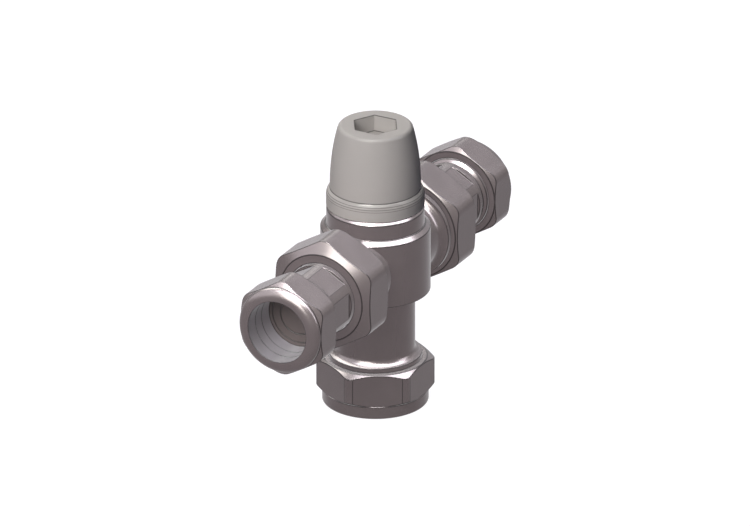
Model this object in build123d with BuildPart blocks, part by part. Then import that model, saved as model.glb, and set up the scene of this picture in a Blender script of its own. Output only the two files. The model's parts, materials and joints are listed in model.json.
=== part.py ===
from build123d import *
from math import cos, pi, radians, tan
import os

os.makedirs("parts", exist_ok=True)

# A mixing valve for hot and cold water, in millimetres.
# The vertical axis is Z, with the centre of the outlet nut's lower face at the origin.
# The two inlets lie along X: hot on the side of -X, cold on the side of +X.
# A turned section is given by its corners, each as (radius, station along the axis).

# Clearances
running_gap = 0.05
thread_gap = 0.05
face_gap = 0.1
pipe_gap = 0.05
turning_room = 0.5

# Pipes that the three ends take
inlet_pipe = 22.0
outlet_pipe = 28.0
inlet_bore_r = inlet_pipe / 2 + pipe_gap
outlet_bore_r = outlet_pipe / 2 + pipe_gap

# Chamfers of the nuts, as angles to the face that they start from
turning_angle = 30.0
lip_angle = 25.0

# Outlet nut
outlet_wall = 1.65
outlet_nut_wall = 2.15
outlet_nut_height = 16.2
outlet_nut_corner = 3.2
outlet_nut_ring_edge = 0.25
outlet_skirt_edge = 0.25
outlet_skirt_height = 4.6
outlet_skirt_round = 0.9
outlet_lip = 2.6

# Body: outlet spigot, tube, boss and neck
spigot_length = 10.1
outlet_socket = 9.3
flange_height = 1.6
tube_r = 13.5
tube_cove_r = 2.4
tube_bore_r = 10.5
inlet_height = 52.95
boss_r = 18.75
boss_height = 22.8
shoulder_height = 1.4
neck_r = 16.7
neck_step = 0.4
neck_height = 7.75
neck_chamfer = 0.9
neck_thread_r = 14.0
thread_chamfer = 0.5

# Body: inlet stubs, with stations counted outwards from the vertical axis
stub_r = 13.4
stub_cove_r = 2.7
collar_start = 22.6
collar_end = 24.5
stub_end = 31.0
stub_bore_r = 11.0
stub_floor = 17.0
passage_r = 10.0

# Galleries in the body and the seats of the shuttle, counted up or down from the inlets' axis
land_half = 1.35
gallery_height = 5.6
gallery_r = 14.0
shuttle_half = 3.45
seat_lift = 1.0

# Shuttle and wax element
shuttle_r = 9.45
shuttle_wall = 1.45
hub_r = 5.4
hub_height = 3.6
hub_lift = 1.1
spoke_width = 1.6
spoke_sink = 0.35
spoke_count = 4
guide_r = 3.6
element_collar_r = 5.0
element_collar_height = 2.2
bulb_r = 4.4
bulb_length = 13.9
bulb_round = 1.2
pin_r = 1.75
pin_length = 6.5

# Cartridge sleeve
sleeve_r = 11.45
sleeve_below = 9.45
sleeve_above = 9.55
sleeve_lip = 1.2
sleeve_lip_r = 7.0
mixing_r = 8.0
skirt_length = 10.7
window_count = 8
window_width = 4.5

# Squeezed rubber rings
sleeve_ring = 1.2
stem_ring = 1.0
shuttle_ring = 0.8
ring_gap = 0.03
ring_bulge = 1 / cos(pi / 6)

# Spring seat and return spring
spring_seat_height = 1.6
spring_seat_hole = 5.0
seat_window_count = 4
return_coil_r = 6.6
return_wire = 1.3
return_turns = 5

# Bonnet
bonnet_room = 0.3
bonnet_flange_height = 1.2
bonnet_hex_height = 3.5
upstand_r = 10.0
upstand_height = 5.4
web_thickness = 10.5
clip_room = 3.7
guide_bore_r = 8.2
guide_flats = 15.0

# Adjusting spindle, its clip and its rings
stem_r = 6.0
stem_below_web = 3.0
spindle_collar_r = 8.6
spindle_collar_height = 1.8
spindle_hex_height = 6.0
spindle_thread_r = 4.05
spindle_thread_depth = 12.5
clip_thickness = 0.8
clip_depth = 0.8
clip_reach = 1.4
clip_arc = 300.0

# Pusher with its overload spring
pusher_r = 8.1
pusher_height = 7.9
pusher_roof = 1.4
pusher_bore_r = 6.2
pusher_lift = 0.5
pusher_stud = 12.7
button_ring_thickness = 0.8
button_ring_lift = 0.4
button_ring_bite = 0.35
button_ring_width = 1.3
button_ring_arc = 320.0
button_thickness = 1.2
button_boss_r = 3.6
button_boss = 1.2
overload_coil_r = 4.6
overload_wire = 0.8
overload_turns = 3

# Cap
cap_lift = 0.3
cap_r = 16.75
cap_wall = 1.8
cap_band_height = 3.8
cap_ledge_height = 2.6
cap_dome_foot_r = 15.5
cap_dome_top_r = 12.6
cap_dome_height = 22.8
cap_edge_r = 1.55
cap_rib_count = 3
cap_rib_width = 1.2
cap_rib_height = 6.0
cap_rib_sink = 0.3
key_flats = 14.0
key_depth = 5.9
key_wall = 1.6
key_floor = 1.5
key_gap = 0.15
gate_mark_r = 2.2
gate_mark_height = 0.25

# Inlet union: washer, nut and tail
washer_thickness = 1.5
washer_bore_r = 9.6
union_back_gap = 0.4
union_front = 39.7
union_flats = 36.4
union_wall = 2.6
union_corner = 5.0
union_ring_edge = 0.7
union_face_edge = 2.5
union_lip = 4.3
union_hole_gap = 0.25
tail_flange_gap = 0.4
tail_wall = 1.9
tail_thread_step = 0.5
tail_flat_depth = 0.95
flats_start = 41.2
flats_end = 52.6
relief_start = 54.3
relief_end = 55.9
relief_depth = 0.6
tail_thread_start = 57.0
tail_end = 63.3
tail_rim = 0.5
pipe_stop = 56.6
tail_bore_r = 8.4

# Inlet compression nut and olive
nut_back = 57.8
nut_front = 71.84
nut_step = 2.7
nut_corner = 4.5
nut_ring_edge = 0.2
nut_collar_edge = 0.15
nut_collar_start = 69.1
nut_round_start = 69.5
nut_mouth_rim = 0.3
nut_shoulder_angle = 39.0
nut_lip = 5.3
olive_gap = 0.1
olive_thickness = 1.3

# Strainer
strainer_r = 9.4
strainer_wall = 0.6
strainer_floor_gap = 1.2
strainer_rim_r = 12.1
strainer_rim = 1.2
strainer_slot_count = 8
strainer_slot_width = 1.8
strainer_slot_margin = 1.4

# Check valve
check_r = 9.65
check_length = 14.15
check_wall = 0.95
check_port_r = 6.6
check_seat = 1.2
check_seal_back = 4.0
poppet_head_r = 7.6
poppet_head = 1.5
poppet_stem_r = 1.9
poppet_stem = 8.8
check_guide_thickness = 2.0
check_guide_ring = 0.8
check_hub_r = 4.2
check_spoke_width = 1.4
check_spoke_count = 3
check_coil_r = 3.3
check_wire = 0.8
check_turns = 4

# Radii and widths that follow from the sizes above
outlet_thread_r = outlet_bore_r + outlet_wall
outlet_nut_flats = 2 * (outlet_thread_r + outlet_nut_wall)
outlet_nut_ring_r = outlet_nut_flats / 2 - outlet_nut_ring_edge
outlet_skirt_r = outlet_nut_flats / 2 + outlet_skirt_edge
flange_r = tube_r + tube_cove_r
stub_thread_r = union_flats / 2 - union_wall
union_ring_r = union_flats / 2 - union_ring_edge
union_face_r = union_flats / 2 - union_face_edge
tail_flange_r = stub_thread_r - tail_flange_gap
tail_thread_r = inlet_bore_r + tail_wall
tail_r = tail_thread_r - tail_thread_step
tail_flats = 2 * (tail_r - tail_flat_depth)
nut_flats = union_flats - 2 * nut_step
nut_ring_r = nut_flats / 2 - nut_ring_edge
nut_collar_r = nut_flats / 2 - nut_collar_edge
nut_round_r = inlet_bore_r + nut_mouth_rim
bonnet_reach = cap_r - cap_wall - bonnet_room
bonnet_flats = 2 * bonnet_reach * cos(pi / 6)
cartridge_bore_r = sleeve_r + running_gap
sleeve_bore_r = shuttle_r + running_gap

# Heights that follow from the sizes above
flange_base = outlet_nut_height + face_gap
spigot_end = flange_base - spigot_length
outlet_stop = spigot_end + outlet_socket
flange_top = flange_base + flange_height
boss_base = inlet_height - boss_height / 2
boss_top = inlet_height + boss_height / 2
neck_base = boss_top + shoulder_height
neck_top = boss_top + neck_height
sleeve_seat = inlet_height - sleeve_below
sleeve_top = inlet_height + sleeve_above
hot_seat = inlet_height - shuttle_half - seat_lift
cold_seat = inlet_height + shuttle_half + seat_lift
skirt_end = sleeve_seat - skirt_length
spring_seat_base = skirt_end + sleeve_lip
hub_base = inlet_height - shuttle_half + hub_lift
bonnet_hex_top = neck_top + bonnet_hex_height
bonnet_top = bonnet_hex_top + upstand_height
web_base = bonnet_top - web_thickness
guide_top = web_base - clip_room
pusher_base = cold_seat + pusher_lift
pusher_top = pusher_base + pusher_height
spindle_base = web_base - stem_below_web
spindle_seat = bonnet_top + face_gap
spindle_hex_base = spindle_seat + spindle_collar_height
cap_base = neck_top + cap_lift
cap_band_top = cap_base + cap_band_height
cap_ledge_top = cap_band_top + cap_ledge_height
cap_top = cap_ledge_top + cap_dome_height
cap_roof = cap_top - cap_wall
key_base = cap_top - key_depth
button_ring_base = pusher_base + button_ring_lift
button_base = button_ring_base + button_ring_thickness
button_top = button_base + button_thickness
pin_top = button_base - running_gap

# Stations along an inlet that follow from the sizes above
union_back = collar_end + union_back_gap
tail_base = stub_end + washer_thickness
union_seat = union_front - union_lip
nut_cone_front = nut_front - nut_lip
check_end = pipe_stop - check_length
poppet_back = pipe_stop - check_seat - running_gap - poppet_head

vertical = Plane.XZ


def turned(plane, *outline):
    """A straight-sided turned section on a plane, from its corners."""
    with BuildSketch(plane) as section:
        with BuildLine():
            Polyline(*outline, close=True)
        make_face()
    return section.sketch


def band(plane, inner, outer, start, end):
    """The section of a plain ring between two radii and two stations."""
    return turned(plane, (inner, start), (outer, start), (outer, end), (inner, end))


def hexagon(plane, flats, corner=0.0):
    """A hexagon by its width across flats, with rounded corners where a radius is given."""
    with BuildSketch(plane) as section:
        RegularPolygon(flats / 2, 6, major_radius=False)
        if corner:
            fillet(section.vertices(), corner)
    return section.sketch


def squeezed_ring(plane, middle, station, thickness):
    """The section of a rubber ring that its groove has squeezed to six sides."""
    with BuildSketch(plane) as section:
        with Locations((middle, station)):
            RegularPolygon(thickness / 2, 6, major_radius=False, rotation=30)
    return section.sketch


def spring_wire(start, direction, length, coil_r, wire, turns):
    """A coil spring of an even pitch, its wire drawn with six sides."""
    with BuildPart() as spring:
        with BuildLine() as coil:
            Helix(
                pitch=(length - wire) / turns,
                height=length - wire,
                radius=coil_r,
                center=start + direction * wire / 2,
                direction=direction,
            )
        with BuildSketch(Plane(coil.line @ 0, z_dir=coil.line % 0)):
            RegularPolygon(wire / 2 - ring_gap, 6)
        sweep(is_frenet=True)
    return spring


def rise(run, angle):
    """How far a chamfer at an angle to its face goes along the axis over a radial run."""
    return run * tan(radians(angle))


def corner_reach(flats, corner):
    """The radius of a rounded hexagon's corners, with room to spare for a turning tool."""
    sharp = flats / 2 / cos(pi / 6)
    return sharp - corner * (1 / cos(pi / 6) - 1) + turning_room


def inlet_plane(side):
    """The plane of an inlet's turned sections: radius upwards, station outwards."""
    return Plane(origin=(0, 0, inlet_height), x_dir=(0, 0, 1), z_dir=(0, side, 0))


def inlet_axis(side):
    """The axis of an inlet, pointing outwards."""
    return Axis((0, 0, inlet_height), (side, 0, 0))


def inlet_face(side, station):
    """The plane across an inlet at a station, facing outwards, with its x direction upwards."""
    return Plane(
        origin=(side * station, 0, inlet_height), x_dir=(0, 0, 1), z_dir=(side, 0, 0)
    )


# Valve body: one casting with the outlet spigot, tube, boss, neck and both inlet stubs
with BuildPart() as valve_body:
    with BuildSketch(vertical):
        with BuildLine():
            Polyline(
                (0, neck_top),
                (0, spigot_end),
                (outlet_thread_r - thread_chamfer, spigot_end),
                (outlet_thread_r, spigot_end + thread_chamfer),
                (outlet_thread_r, flange_base),
                (flange_r, flange_base),
                (flange_r, flange_top),
            )
            RadiusArc((flange_r, flange_top), (tube_r, flange_top + tube_cove_r), tube_cove_r)
            Polyline(
                (tube_r, flange_top + tube_cove_r),
                (tube_r, boss_base),
                (boss_r, boss_base),
                (boss_r, boss_top),
                (neck_r + neck_step, neck_base),
                (neck_r, neck_base),
                (neck_r, neck_top - neck_chamfer),
                (neck_r - neck_chamfer, neck_top),
                (0, neck_top),
            )
        make_face()
    revolve(axis=Axis.Z)
    for side in (-1, 1):
        with BuildSketch(inlet_plane(side)):
            with BuildLine():
                Polyline(
                    (0, stub_end),
                    (0, gallery_r),
                    (stub_r, gallery_r),
                    (stub_r, collar_start - stub_cove_r),
                )
                RadiusArc(
                    (stub_r, collar_start - stub_cove_r),
                    (stub_r + stub_cove_r, collar_start),
                    stub_cove_r,
                )
                Polyline(
                    (stub_r + stub_cove_r, collar_start),
                    (stub_r + stub_cove_r, collar_end),
                    (stub_thread_r, collar_end),
                    (stub_thread_r, stub_end - thread_chamfer),
                    (stub_thread_r - thread_chamfer, stub_end),
                    (0, stub_end),
                )
            make_face()
        revolve(axis=inlet_axis(side))
    revolve(
        turned(
            vertical,
            (0, spigot_end),
            (outlet_bore_r + olive_thickness, spigot_end),
            (outlet_bore_r, spigot_end + olive_thickness),
            (outlet_bore_r, outlet_stop),
            (tube_bore_r, outlet_stop),
            (tube_bore_r, sleeve_seat),
            (cartridge_bore_r, sleeve_seat),
            (cartridge_bore_r, sleeve_top - face_gap),
            (neck_thread_r, sleeve_top - face_gap),
            (neck_thread_r, neck_top),
            (0, neck_top),
        ),
        axis=Axis.Z,
        mode=Mode.SUBTRACT,
    )
    for side in (-1, 1):
        gallery_low = inlet_height + (land_half if side > 0 else -land_half - gallery_height)
        gallery_high = gallery_low + gallery_height
        revolve(
            band(vertical, sleeve_r, gallery_r, gallery_low, gallery_high),
            axis=Axis.Z,
            mode=Mode.SUBTRACT,
        )
        revolve(
            turned(
                inlet_plane(side),
                (0, stub_floor),
                (stub_bore_r, stub_floor),
                (stub_bore_r, stub_end - strainer_rim),
                (strainer_rim_r + running_gap, stub_end - strainer_rim),
                (strainer_rim_r + running_gap, stub_end),
                (0, stub_end),
            ),
            axis=inlet_axis(side),
            mode=Mode.SUBTRACT,
        )
        passage_middle = (gallery_low + gallery_high) / 2 - inlet_height
        with BuildSketch(inlet_face(side, cartridge_bore_r)) as passage:
            Circle(passage_r)
            with Locations((passage_middle, 0)):
                Rectangle(gallery_height, 2 * passage_r, mode=Mode.INTERSECT)
        extrude(amount=stub_floor - cartridge_bore_r, mode=Mode.SUBTRACT)
valve_body.part.label = "valve_body"
export_step(valve_body.part, "parts/valve_body.step")

# Outlet nut: a hexagon turned off at both ends, on a round skirt
outlet_reach = corner_reach(outlet_nut_flats, outlet_nut_corner)
with BuildPart() as outlet_nut:
    extrude(
        hexagon(
            Plane.XY.offset(outlet_skirt_height), outlet_nut_flats, outlet_nut_corner
        ),
        amount=outlet_nut_height - outlet_skirt_height,
    )
    revolve(
        turned(
            vertical,
            (0, outlet_skirt_height),
            (outlet_skirt_r, outlet_skirt_height),
            (
                outlet_reach,
                outlet_skirt_height + rise(outlet_reach - outlet_skirt_r, turning_angle),
            ),
            (
                outlet_reach,
                outlet_nut_height - rise(outlet_reach - outlet_nut_ring_r, turning_angle),
            ),
            (outlet_nut_ring_r, outlet_nut_height),
            (0, outlet_nut_height),
        ),
        axis=Axis.Z,
        mode=Mode.INTERSECT,
    )
    revolve(band(vertical, 0, outlet_skirt_r, 0, outlet_skirt_height), axis=Axis.Z)
    skirt_edges = outlet_nut.edges().filter_by(GeomType.CIRCLE).group_by(Axis.Z)[0]
    fillet(skirt_edges, outlet_skirt_round)
    revolve(
        turned(
            vertical,
            (0, 0),
            (outlet_bore_r, 0),
            (outlet_bore_r, outlet_lip),
            (
                outlet_thread_r + thread_gap,
                outlet_lip + outlet_thread_r + thread_gap - outlet_bore_r,
            ),
            (outlet_thread_r + thread_gap, outlet_nut_height),
            (0, outlet_nut_height),
        ),
        axis=Axis.Z,
        mode=Mode.SUBTRACT,
    )
outlet_nut.part.label = "outlet_nut"
export_step(outlet_nut.part, "parts/outlet_nut.step")

# Outlet olive, between the nut's cone and the spigot's mouth
with BuildPart() as outlet_olive:
    revolve(
        turned(
            vertical,
            (outlet_bore_r, outlet_lip + olive_gap),
            (
                outlet_bore_r + olive_thickness,
                outlet_lip + olive_gap + olive_thickness,
            ),
            (outlet_bore_r + olive_thickness, spigot_end - olive_gap),
            (outlet_bore_r, spigot_end - olive_gap + olive_thickness),
        ),
        axis=Axis.Z,
    )
outlet_olive.part.label = "outlet_olive"
export_step(outlet_olive.part, "parts/outlet_olive.step")

# Cartridge sleeve, with a row of windows at each gallery
lower_groove = (sleeve_seat + inlet_height - land_half - gallery_height) / 2
upper_groove = (sleeve_top + inlet_height + land_half + gallery_height) / 2
sleeve_rings = {
    "lower_sleeve_ring": lower_groove,
    "middle_sleeve_ring": inlet_height,
    "upper_sleeve_ring": upper_groove,
}
groove_floor_r = cartridge_bore_r - sleeve_ring - 2 * ring_gap
with BuildPart() as cartridge_sleeve:
    revolve(
        turned(
            vertical,
            (sleeve_lip_r, skirt_end),
            (tube_bore_r - running_gap, skirt_end),
            (tube_bore_r - running_gap, sleeve_seat),
            (sleeve_r, sleeve_seat),
            (sleeve_r, sleeve_top),
            (sleeve_bore_r, sleeve_top),
            (sleeve_bore_r, hot_seat),
            (mixing_r, hot_seat),
            (mixing_r, spring_seat_base),
            (sleeve_lip_r, spring_seat_base),
        ),
        axis=Axis.Z,
    )
    for groove in sleeve_rings.values():
        revolve(
            band(
                vertical,
                groove_floor_r,
                sleeve_r,
                groove - ring_bulge * sleeve_ring / 2 - ring_gap,
                groove + ring_bulge * sleeve_ring / 2 + ring_gap,
            ),
            axis=Axis.Z,
            mode=Mode.SUBTRACT,
        )
    for window_base, window_top in (
        (hot_seat, inlet_height - land_half),
        (inlet_height + land_half, cold_seat),
    ):
        with BuildSketch(Plane.XY.offset(window_base)):
            with PolarLocations((sleeve_bore_r + sleeve_r) / 2, window_count):
                Rectangle(2 * (sleeve_r - sleeve_bore_r), window_width)
            Circle(sleeve_bore_r, mode=Mode.SUBTRACT)
        extrude(amount=window_top - window_base, mode=Mode.SUBTRACT)
cartridge_sleeve.part.label = "cartridge_sleeve"
export_step(cartridge_sleeve.part, "parts/cartridge_sleeve.step")

# Rubber rings of the sleeve
ring_middle_r = (groove_floor_r + cartridge_bore_r) / 2
for name, groove in sleeve_rings.items():
    with BuildPart() as sleeve_seal:
        revolve(
            squeezed_ring(vertical, ring_middle_r, groove, sleeve_ring), axis=Axis.Z
        )
    sleeve_seal.part.label = name
    export_step(sleeve_seal.part, f"parts/{name}.step")

# Spring seat in the foot of the sleeve, which also guides the element's bulb
spring_seat_top = spring_seat_base + spring_seat_height
with BuildPart() as spring_seat:
    revolve(
        band(
            vertical,
            spring_seat_hole,
            mixing_r - running_gap,
            spring_seat_base,
            spring_seat_top,
        ),
        axis=Axis.Z,
    )
    with BuildSketch(Plane.XY.offset(spring_seat_base)):
        with PolarLocations(spring_seat_hole, seat_window_count):
            SlotOverall(2 * (return_coil_r - spring_seat_hole), spoke_width)
    extrude(amount=spring_seat_height, mode=Mode.SUBTRACT)
spring_seat.part.label = "spring_seat"
export_step(spring_seat.part, "parts/spring_seat.step")

# Return spring, under the shuttle's spokes
return_spring = spring_wire(
    Vector(0, 0, spring_seat_top),
    Vector(0, 0, 1),
    hub_base - spring_seat_top,
    return_coil_r,
    return_wire,
    return_turns,
)
return_spring.part.label = "return_spring"
export_step(return_spring.part, "parts/return_spring.step")

# Shuttle: a sliding ring on spokes, which shuts one gallery as it opens the other
shuttle_base = inlet_height - shuttle_half
shuttle_top = inlet_height + shuttle_half
shuttle_bore_r = shuttle_r - shuttle_wall
shuttle_groove_r = sleeve_bore_r - shuttle_ring - 2 * ring_gap
hub_top = hub_base + hub_height
with BuildPart() as shuttle:
    revolve(band(vertical, shuttle_bore_r, shuttle_r, shuttle_base, shuttle_top), axis=Axis.Z)
    with BuildSketch(Plane.XY.offset(hub_base)):
        with PolarLocations(0, spoke_count // 2, angular_range=180):
            Rectangle(2 * (shuttle_bore_r + spoke_sink), spoke_width)
        Circle(hub_r)
        Circle(guide_r + running_gap, mode=Mode.SUBTRACT)
    extrude(amount=hub_height)
    revolve(
        band(
            vertical,
            shuttle_groove_r,
            shuttle_r,
            inlet_height - ring_bulge * shuttle_ring / 2 - ring_gap,
            inlet_height + ring_bulge * shuttle_ring / 2 + ring_gap,
        ),
        axis=Axis.Z,
        mode=Mode.SUBTRACT,
    )
shuttle.part.label = "shuttle"
export_step(shuttle.part, "parts/shuttle.step")

# Rubber ring of the shuttle
with BuildPart() as shuttle_seal:
    revolve(
        squeezed_ring(
            vertical, (shuttle_groove_r + sleeve_bore_r) / 2, inlet_height, shuttle_ring
        ),
        axis=Axis.Z,
    )
shuttle_seal.part.label = "shuttle_seal"
export_step(shuttle_seal.part, "parts/shuttle_seal.step")

# Wax element: bulb, crimped collar and guide, with a blind bore for its pin
guide_end = hub_top + shuttle_half - land_half
collar_base = hub_base - element_collar_height
with BuildPart() as wax_element:
    revolve(
        turned(
            vertical,
            (0, collar_base - bulb_length),
            (bulb_r, collar_base - bulb_length),
            (bulb_r, collar_base),
            (element_collar_r, collar_base),
            (element_collar_r, hub_base),
            (guide_r, hub_base),
            (guide_r, guide_end),
            (0, guide_end),
        ),
        axis=Axis.Z,
    )
    bulb_edges = wax_element.edges().filter_by(GeomType.CIRCLE).group_by(Axis.Z)[0]
    fillet(bulb_edges, bulb_round)
    revolve(
        band(vertical, 0, pin_r + running_gap, hub_base, guide_end),
        axis=Axis.Z,
        mode=Mode.SUBTRACT,
    )
wax_element.part.label = "wax_element"
export_step(wax_element.part, "parts/wax_element.step")

# Pin that the element pushes against the button
with BuildPart() as element_pin:
    revolve(band(vertical, 0, pin_r, pin_top - pin_length, pin_top), axis=Axis.Z)
element_pin.part.label = "element_pin"
export_step(element_pin.part, "parts/element_pin.step")

# Pusher: a cup with two flats, on a stud that is screwed into the spindle
button_groove_r = pusher_bore_r + button_ring_bite
pusher_flats = guide_flats - 2 * face_gap
with BuildPart() as pusher:
    with BuildSketch(Plane.XY.offset(pusher_base)):
        Circle(pusher_r)
        Rectangle(2 * pusher_r, pusher_flats, mode=Mode.INTERSECT)
    extrude(amount=pusher_height)
    revolve(
        band(
            vertical, 0, spindle_thread_r - thread_gap, pusher_top, pusher_top + pusher_stud
        ),
        axis=Axis.Z,
    )
    revolve(
        turned(
            vertical,
            (0, pusher_base),
            (pusher_bore_r, pusher_base),
            (pusher_bore_r, button_ring_base),
            (button_groove_r, button_ring_base),
            (button_groove_r, button_base),
            (pusher_bore_r, button_base),
            (pusher_bore_r, pusher_top - pusher_roof),
            (0, pusher_top - pusher_roof),
        ),
        axis=Axis.Z,
        mode=Mode.SUBTRACT,
    )
pusher.part.label = "pusher"
export_step(pusher.part, "parts/pusher.step")

# Open ring that keeps the button in the cup
with BuildPart() as button_ring:
    revolve(
        band(
            vertical,
            button_groove_r - button_ring_width,
            button_groove_r - ring_gap,
            button_ring_base,
            button_base,
        ),
        axis=Axis.Z,
        revolution_arc=button_ring_arc,
    )
button_ring.part.label = "button_ring"
export_step(button_ring.part, "parts/button_ring.step")

# Button under the overload spring, with a socket for the element's pin
with BuildPart() as overload_button:
    revolve(
        turned(
            vertical,
            (0, button_top),
            (0, pin_top + running_gap),
            (pin_r + running_gap, pin_top + running_gap),
            (pin_r + running_gap, button_base - button_boss),
            (button_boss_r, button_base - button_boss),
            (button_boss_r, button_base),
            (pusher_bore_r - face_gap, button_base),
            (pusher_bore_r - face_gap, button_top),
        ),
        axis=Axis.Z,
    )
overload_button.part.label = "overload_button"
export_step(overload_button.part, "parts/overload_button.step")

# Overload spring, which gives way when the element has no more travel
overload_spring = spring_wire(
    Vector(0, 0, button_top),
    Vector(0, 0, 1),
    pusher_top - pusher_roof - button_top,
    overload_coil_r,
    overload_wire,
    overload_turns,
)
overload_spring.part.label = "overload_spring"
export_step(overload_spring.part, "parts/overload_spring.step")

# Bonnet: its spigot is the cold seat, its bore guides the pusher, its upstand holds the cap
with BuildPart() as bonnet:
    revolve(
        turned(
            vertical,
            (0, cold_seat),
            (sleeve_bore_r - running_gap, cold_seat),
            (sleeve_bore_r - running_gap, sleeve_top),
            (neck_thread_r - thread_gap, sleeve_top),
            (neck_thread_r - thread_gap, neck_top),
            (bonnet_reach, neck_top),
            (bonnet_reach, neck_top + bonnet_flange_height),
            (upstand_r, neck_top + bonnet_flange_height),
            (upstand_r, bonnet_top - thread_chamfer),
            (upstand_r - thread_chamfer, bonnet_top),
            (0, bonnet_top),
        ),
        axis=Axis.Z,
    )
    extrude(hexagon(Plane.XY.offset(neck_top), bonnet_flats), amount=bonnet_hex_height)
    with BuildSketch(Plane.XY.offset(cold_seat)):
        Circle(guide_bore_r)
        Rectangle(2 * guide_bore_r, guide_flats, mode=Mode.INTERSECT)
    extrude(amount=guide_top - cold_seat, mode=Mode.SUBTRACT)
    revolve(
        turned(
            vertical,
            (0, guide_top),
            (guide_bore_r, guide_top),
            (guide_bore_r, web_base),
            (stem_r + running_gap, web_base),
            (stem_r + running_gap, bonnet_top),
            (0, bonnet_top),
        ),
        axis=Axis.Z,
        mode=Mode.SUBTRACT,
    )
    revolve(
        band(
            vertical,
            neck_thread_r - sleeve_ring,
            neck_thread_r,
            neck_top - ring_bulge * sleeve_ring,
            neck_top,
        ),
        axis=Axis.Z,
        mode=Mode.SUBTRACT,
    )
bonnet.part.label = "bonnet"
export_step(bonnet.part, "parts/bonnet.step")

# Rubber ring between bonnet and neck
with BuildPart() as bonnet_seal:
    revolve(
        squeezed_ring(
            vertical,
            neck_thread_r - sleeve_ring / 2,
            neck_top - ring_bulge * sleeve_ring / 2,
            sleeve_ring - 2 * ring_gap,
        ),
        axis=Axis.Z,
    )
bonnet_seal.part.label = "bonnet_seal"
export_step(bonnet_seal.part, "parts/bonnet_seal.step")

# Adjusting spindle: a hexagon for the cap's socket, a collar and a hollow stem
clip_top = web_base - face_gap
clip_floor_r = stem_r - clip_depth
stem_groove_r = stem_r + running_gap - stem_ring - 2 * ring_gap
spindle_rings = {
    "lower_spindle_ring": web_base + web_thickness / 3,
    "upper_spindle_ring": web_base + web_thickness * 2 / 3,
}
with BuildPart() as adjusting_spindle:
    revolve(
        turned(
            vertical,
            (0, spindle_base),
            (stem_r, spindle_base),
            (stem_r, spindle_seat),
            (spindle_collar_r, spindle_seat),
            (spindle_collar_r, spindle_hex_base),
            (0, spindle_hex_base),
        ),
        axis=Axis.Z,
    )
    extrude(
        hexagon(Plane.XY.offset(spindle_hex_base), key_flats - 2 * key_gap),
        amount=spindle_hex_height,
    )
    top_edges = adjusting_spindle.edges().group_by(Axis.Z)[-1]
    chamfer(top_edges, thread_chamfer)
    revolve(
        band(
            vertical,
            0,
            spindle_thread_r,
            spindle_base,
            spindle_base + spindle_thread_depth,
        ),
        axis=Axis.Z,
        mode=Mode.SUBTRACT,
    )
    revolve(
        band(
            vertical, clip_floor_r, stem_r, clip_top - clip_thickness - face_gap, clip_top
        ),
        axis=Axis.Z,
        mode=Mode.SUBTRACT,
    )
    for groove in spindle_rings.values():
        revolve(
            band(
                vertical,
                stem_groove_r,
                stem_r,
                groove - ring_bulge * stem_ring / 2 - ring_gap,
                groove + ring_bulge * stem_ring / 2 + ring_gap,
            ),
            axis=Axis.Z,
            mode=Mode.SUBTRACT,
        )
adjusting_spindle.part.label = "adjusting_spindle"
export_step(adjusting_spindle.part, "parts/adjusting_spindle.step")

# Rubber rings of the spindle
for name, groove in spindle_rings.items():
    with BuildPart() as spindle_seal:
        revolve(
            squeezed_ring(
                vertical, (stem_groove_r + stem_r + running_gap) / 2, groove, stem_ring
            ),
            axis=Axis.Z,
        )
    spindle_seal.part.label = name
    export_step(spindle_seal.part, f"parts/{name}.step")

# Open clip that holds the spindle up against the web
with BuildPart() as spindle_clip:
    revolve(
        band(
            vertical,
            clip_floor_r + ring_gap,
            stem_r + clip_reach,
            clip_top - clip_thickness,
            clip_top,
        ),
        axis=Axis.Z,
        revolution_arc=clip_arc,
    )
spindle_clip.part.label = "spindle_clip"
export_step(spindle_clip.part, "parts/spindle_clip.step")

# Cap: a moulded cup over the bonnet, with a hexagon key socket in its roof
key_plane = Plane(origin=(0, 0, key_base), x_dir=(0, 1, 0), z_dir=(0, 0, 1))
with BuildPart() as cap:
    with BuildSketch(vertical):
        with BuildLine():
            Polyline((0, cap_top), (0, cap_base), (cap_r, cap_base), (cap_r, cap_band_top))
            TangentArc(
                (cap_r, cap_band_top), (cap_dome_foot_r, cap_ledge_top), tangent=(0, 1)
            )
            TangentArc(
                (cap_dome_foot_r, cap_ledge_top), (cap_dome_top_r, cap_top), tangent=(0, 1)
            )
            Line((cap_dome_top_r, cap_top), (0, cap_top))
        make_face()
    revolve(axis=Axis.Z)
    fillet(cap.edges().group_by(Axis.Z)[-1], cap_edge_r)
    with BuildSketch(vertical):
        with BuildLine():
            Polyline(
                (0, cap_roof),
                (0, cap_base),
                (cap_r - cap_wall, cap_base),
                (cap_r - cap_wall, cap_band_top),
                (cap_dome_foot_r - cap_wall, cap_ledge_top),
            )
            TangentArc(
                (cap_dome_foot_r - cap_wall, cap_ledge_top),
                (cap_dome_top_r - cap_wall, cap_roof),
                tangent=(0, 1),
            )
            Line((cap_dome_top_r - cap_wall, cap_roof), (0, cap_roof))
        make_face()
    revolve(axis=Axis.Z, mode=Mode.SUBTRACT)
    with BuildSketch(Plane.XY.offset(bonnet_hex_top + face_gap)):
        with PolarLocations(0, cap_rib_count):
            Rectangle(2 * (cap_dome_foot_r - cap_rib_sink), cap_rib_width)
        Circle(upstand_r + running_gap, mode=Mode.SUBTRACT)
    extrude(amount=cap_rib_height)
    extrude(
        hexagon(key_plane.offset(-key_floor), key_flats + 2 * key_wall),
        amount=cap_roof + key_floor - key_base,
    )
    extrude(hexagon(key_plane, key_flats), amount=key_depth, mode=Mode.SUBTRACT)
    revolve(
        band(vertical, 0, gate_mark_r, key_base, key_base + gate_mark_height), axis=Axis.Z
    )
cap.part.label = "cap"
export_step(cap.part, "parts/cap.step")


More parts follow.
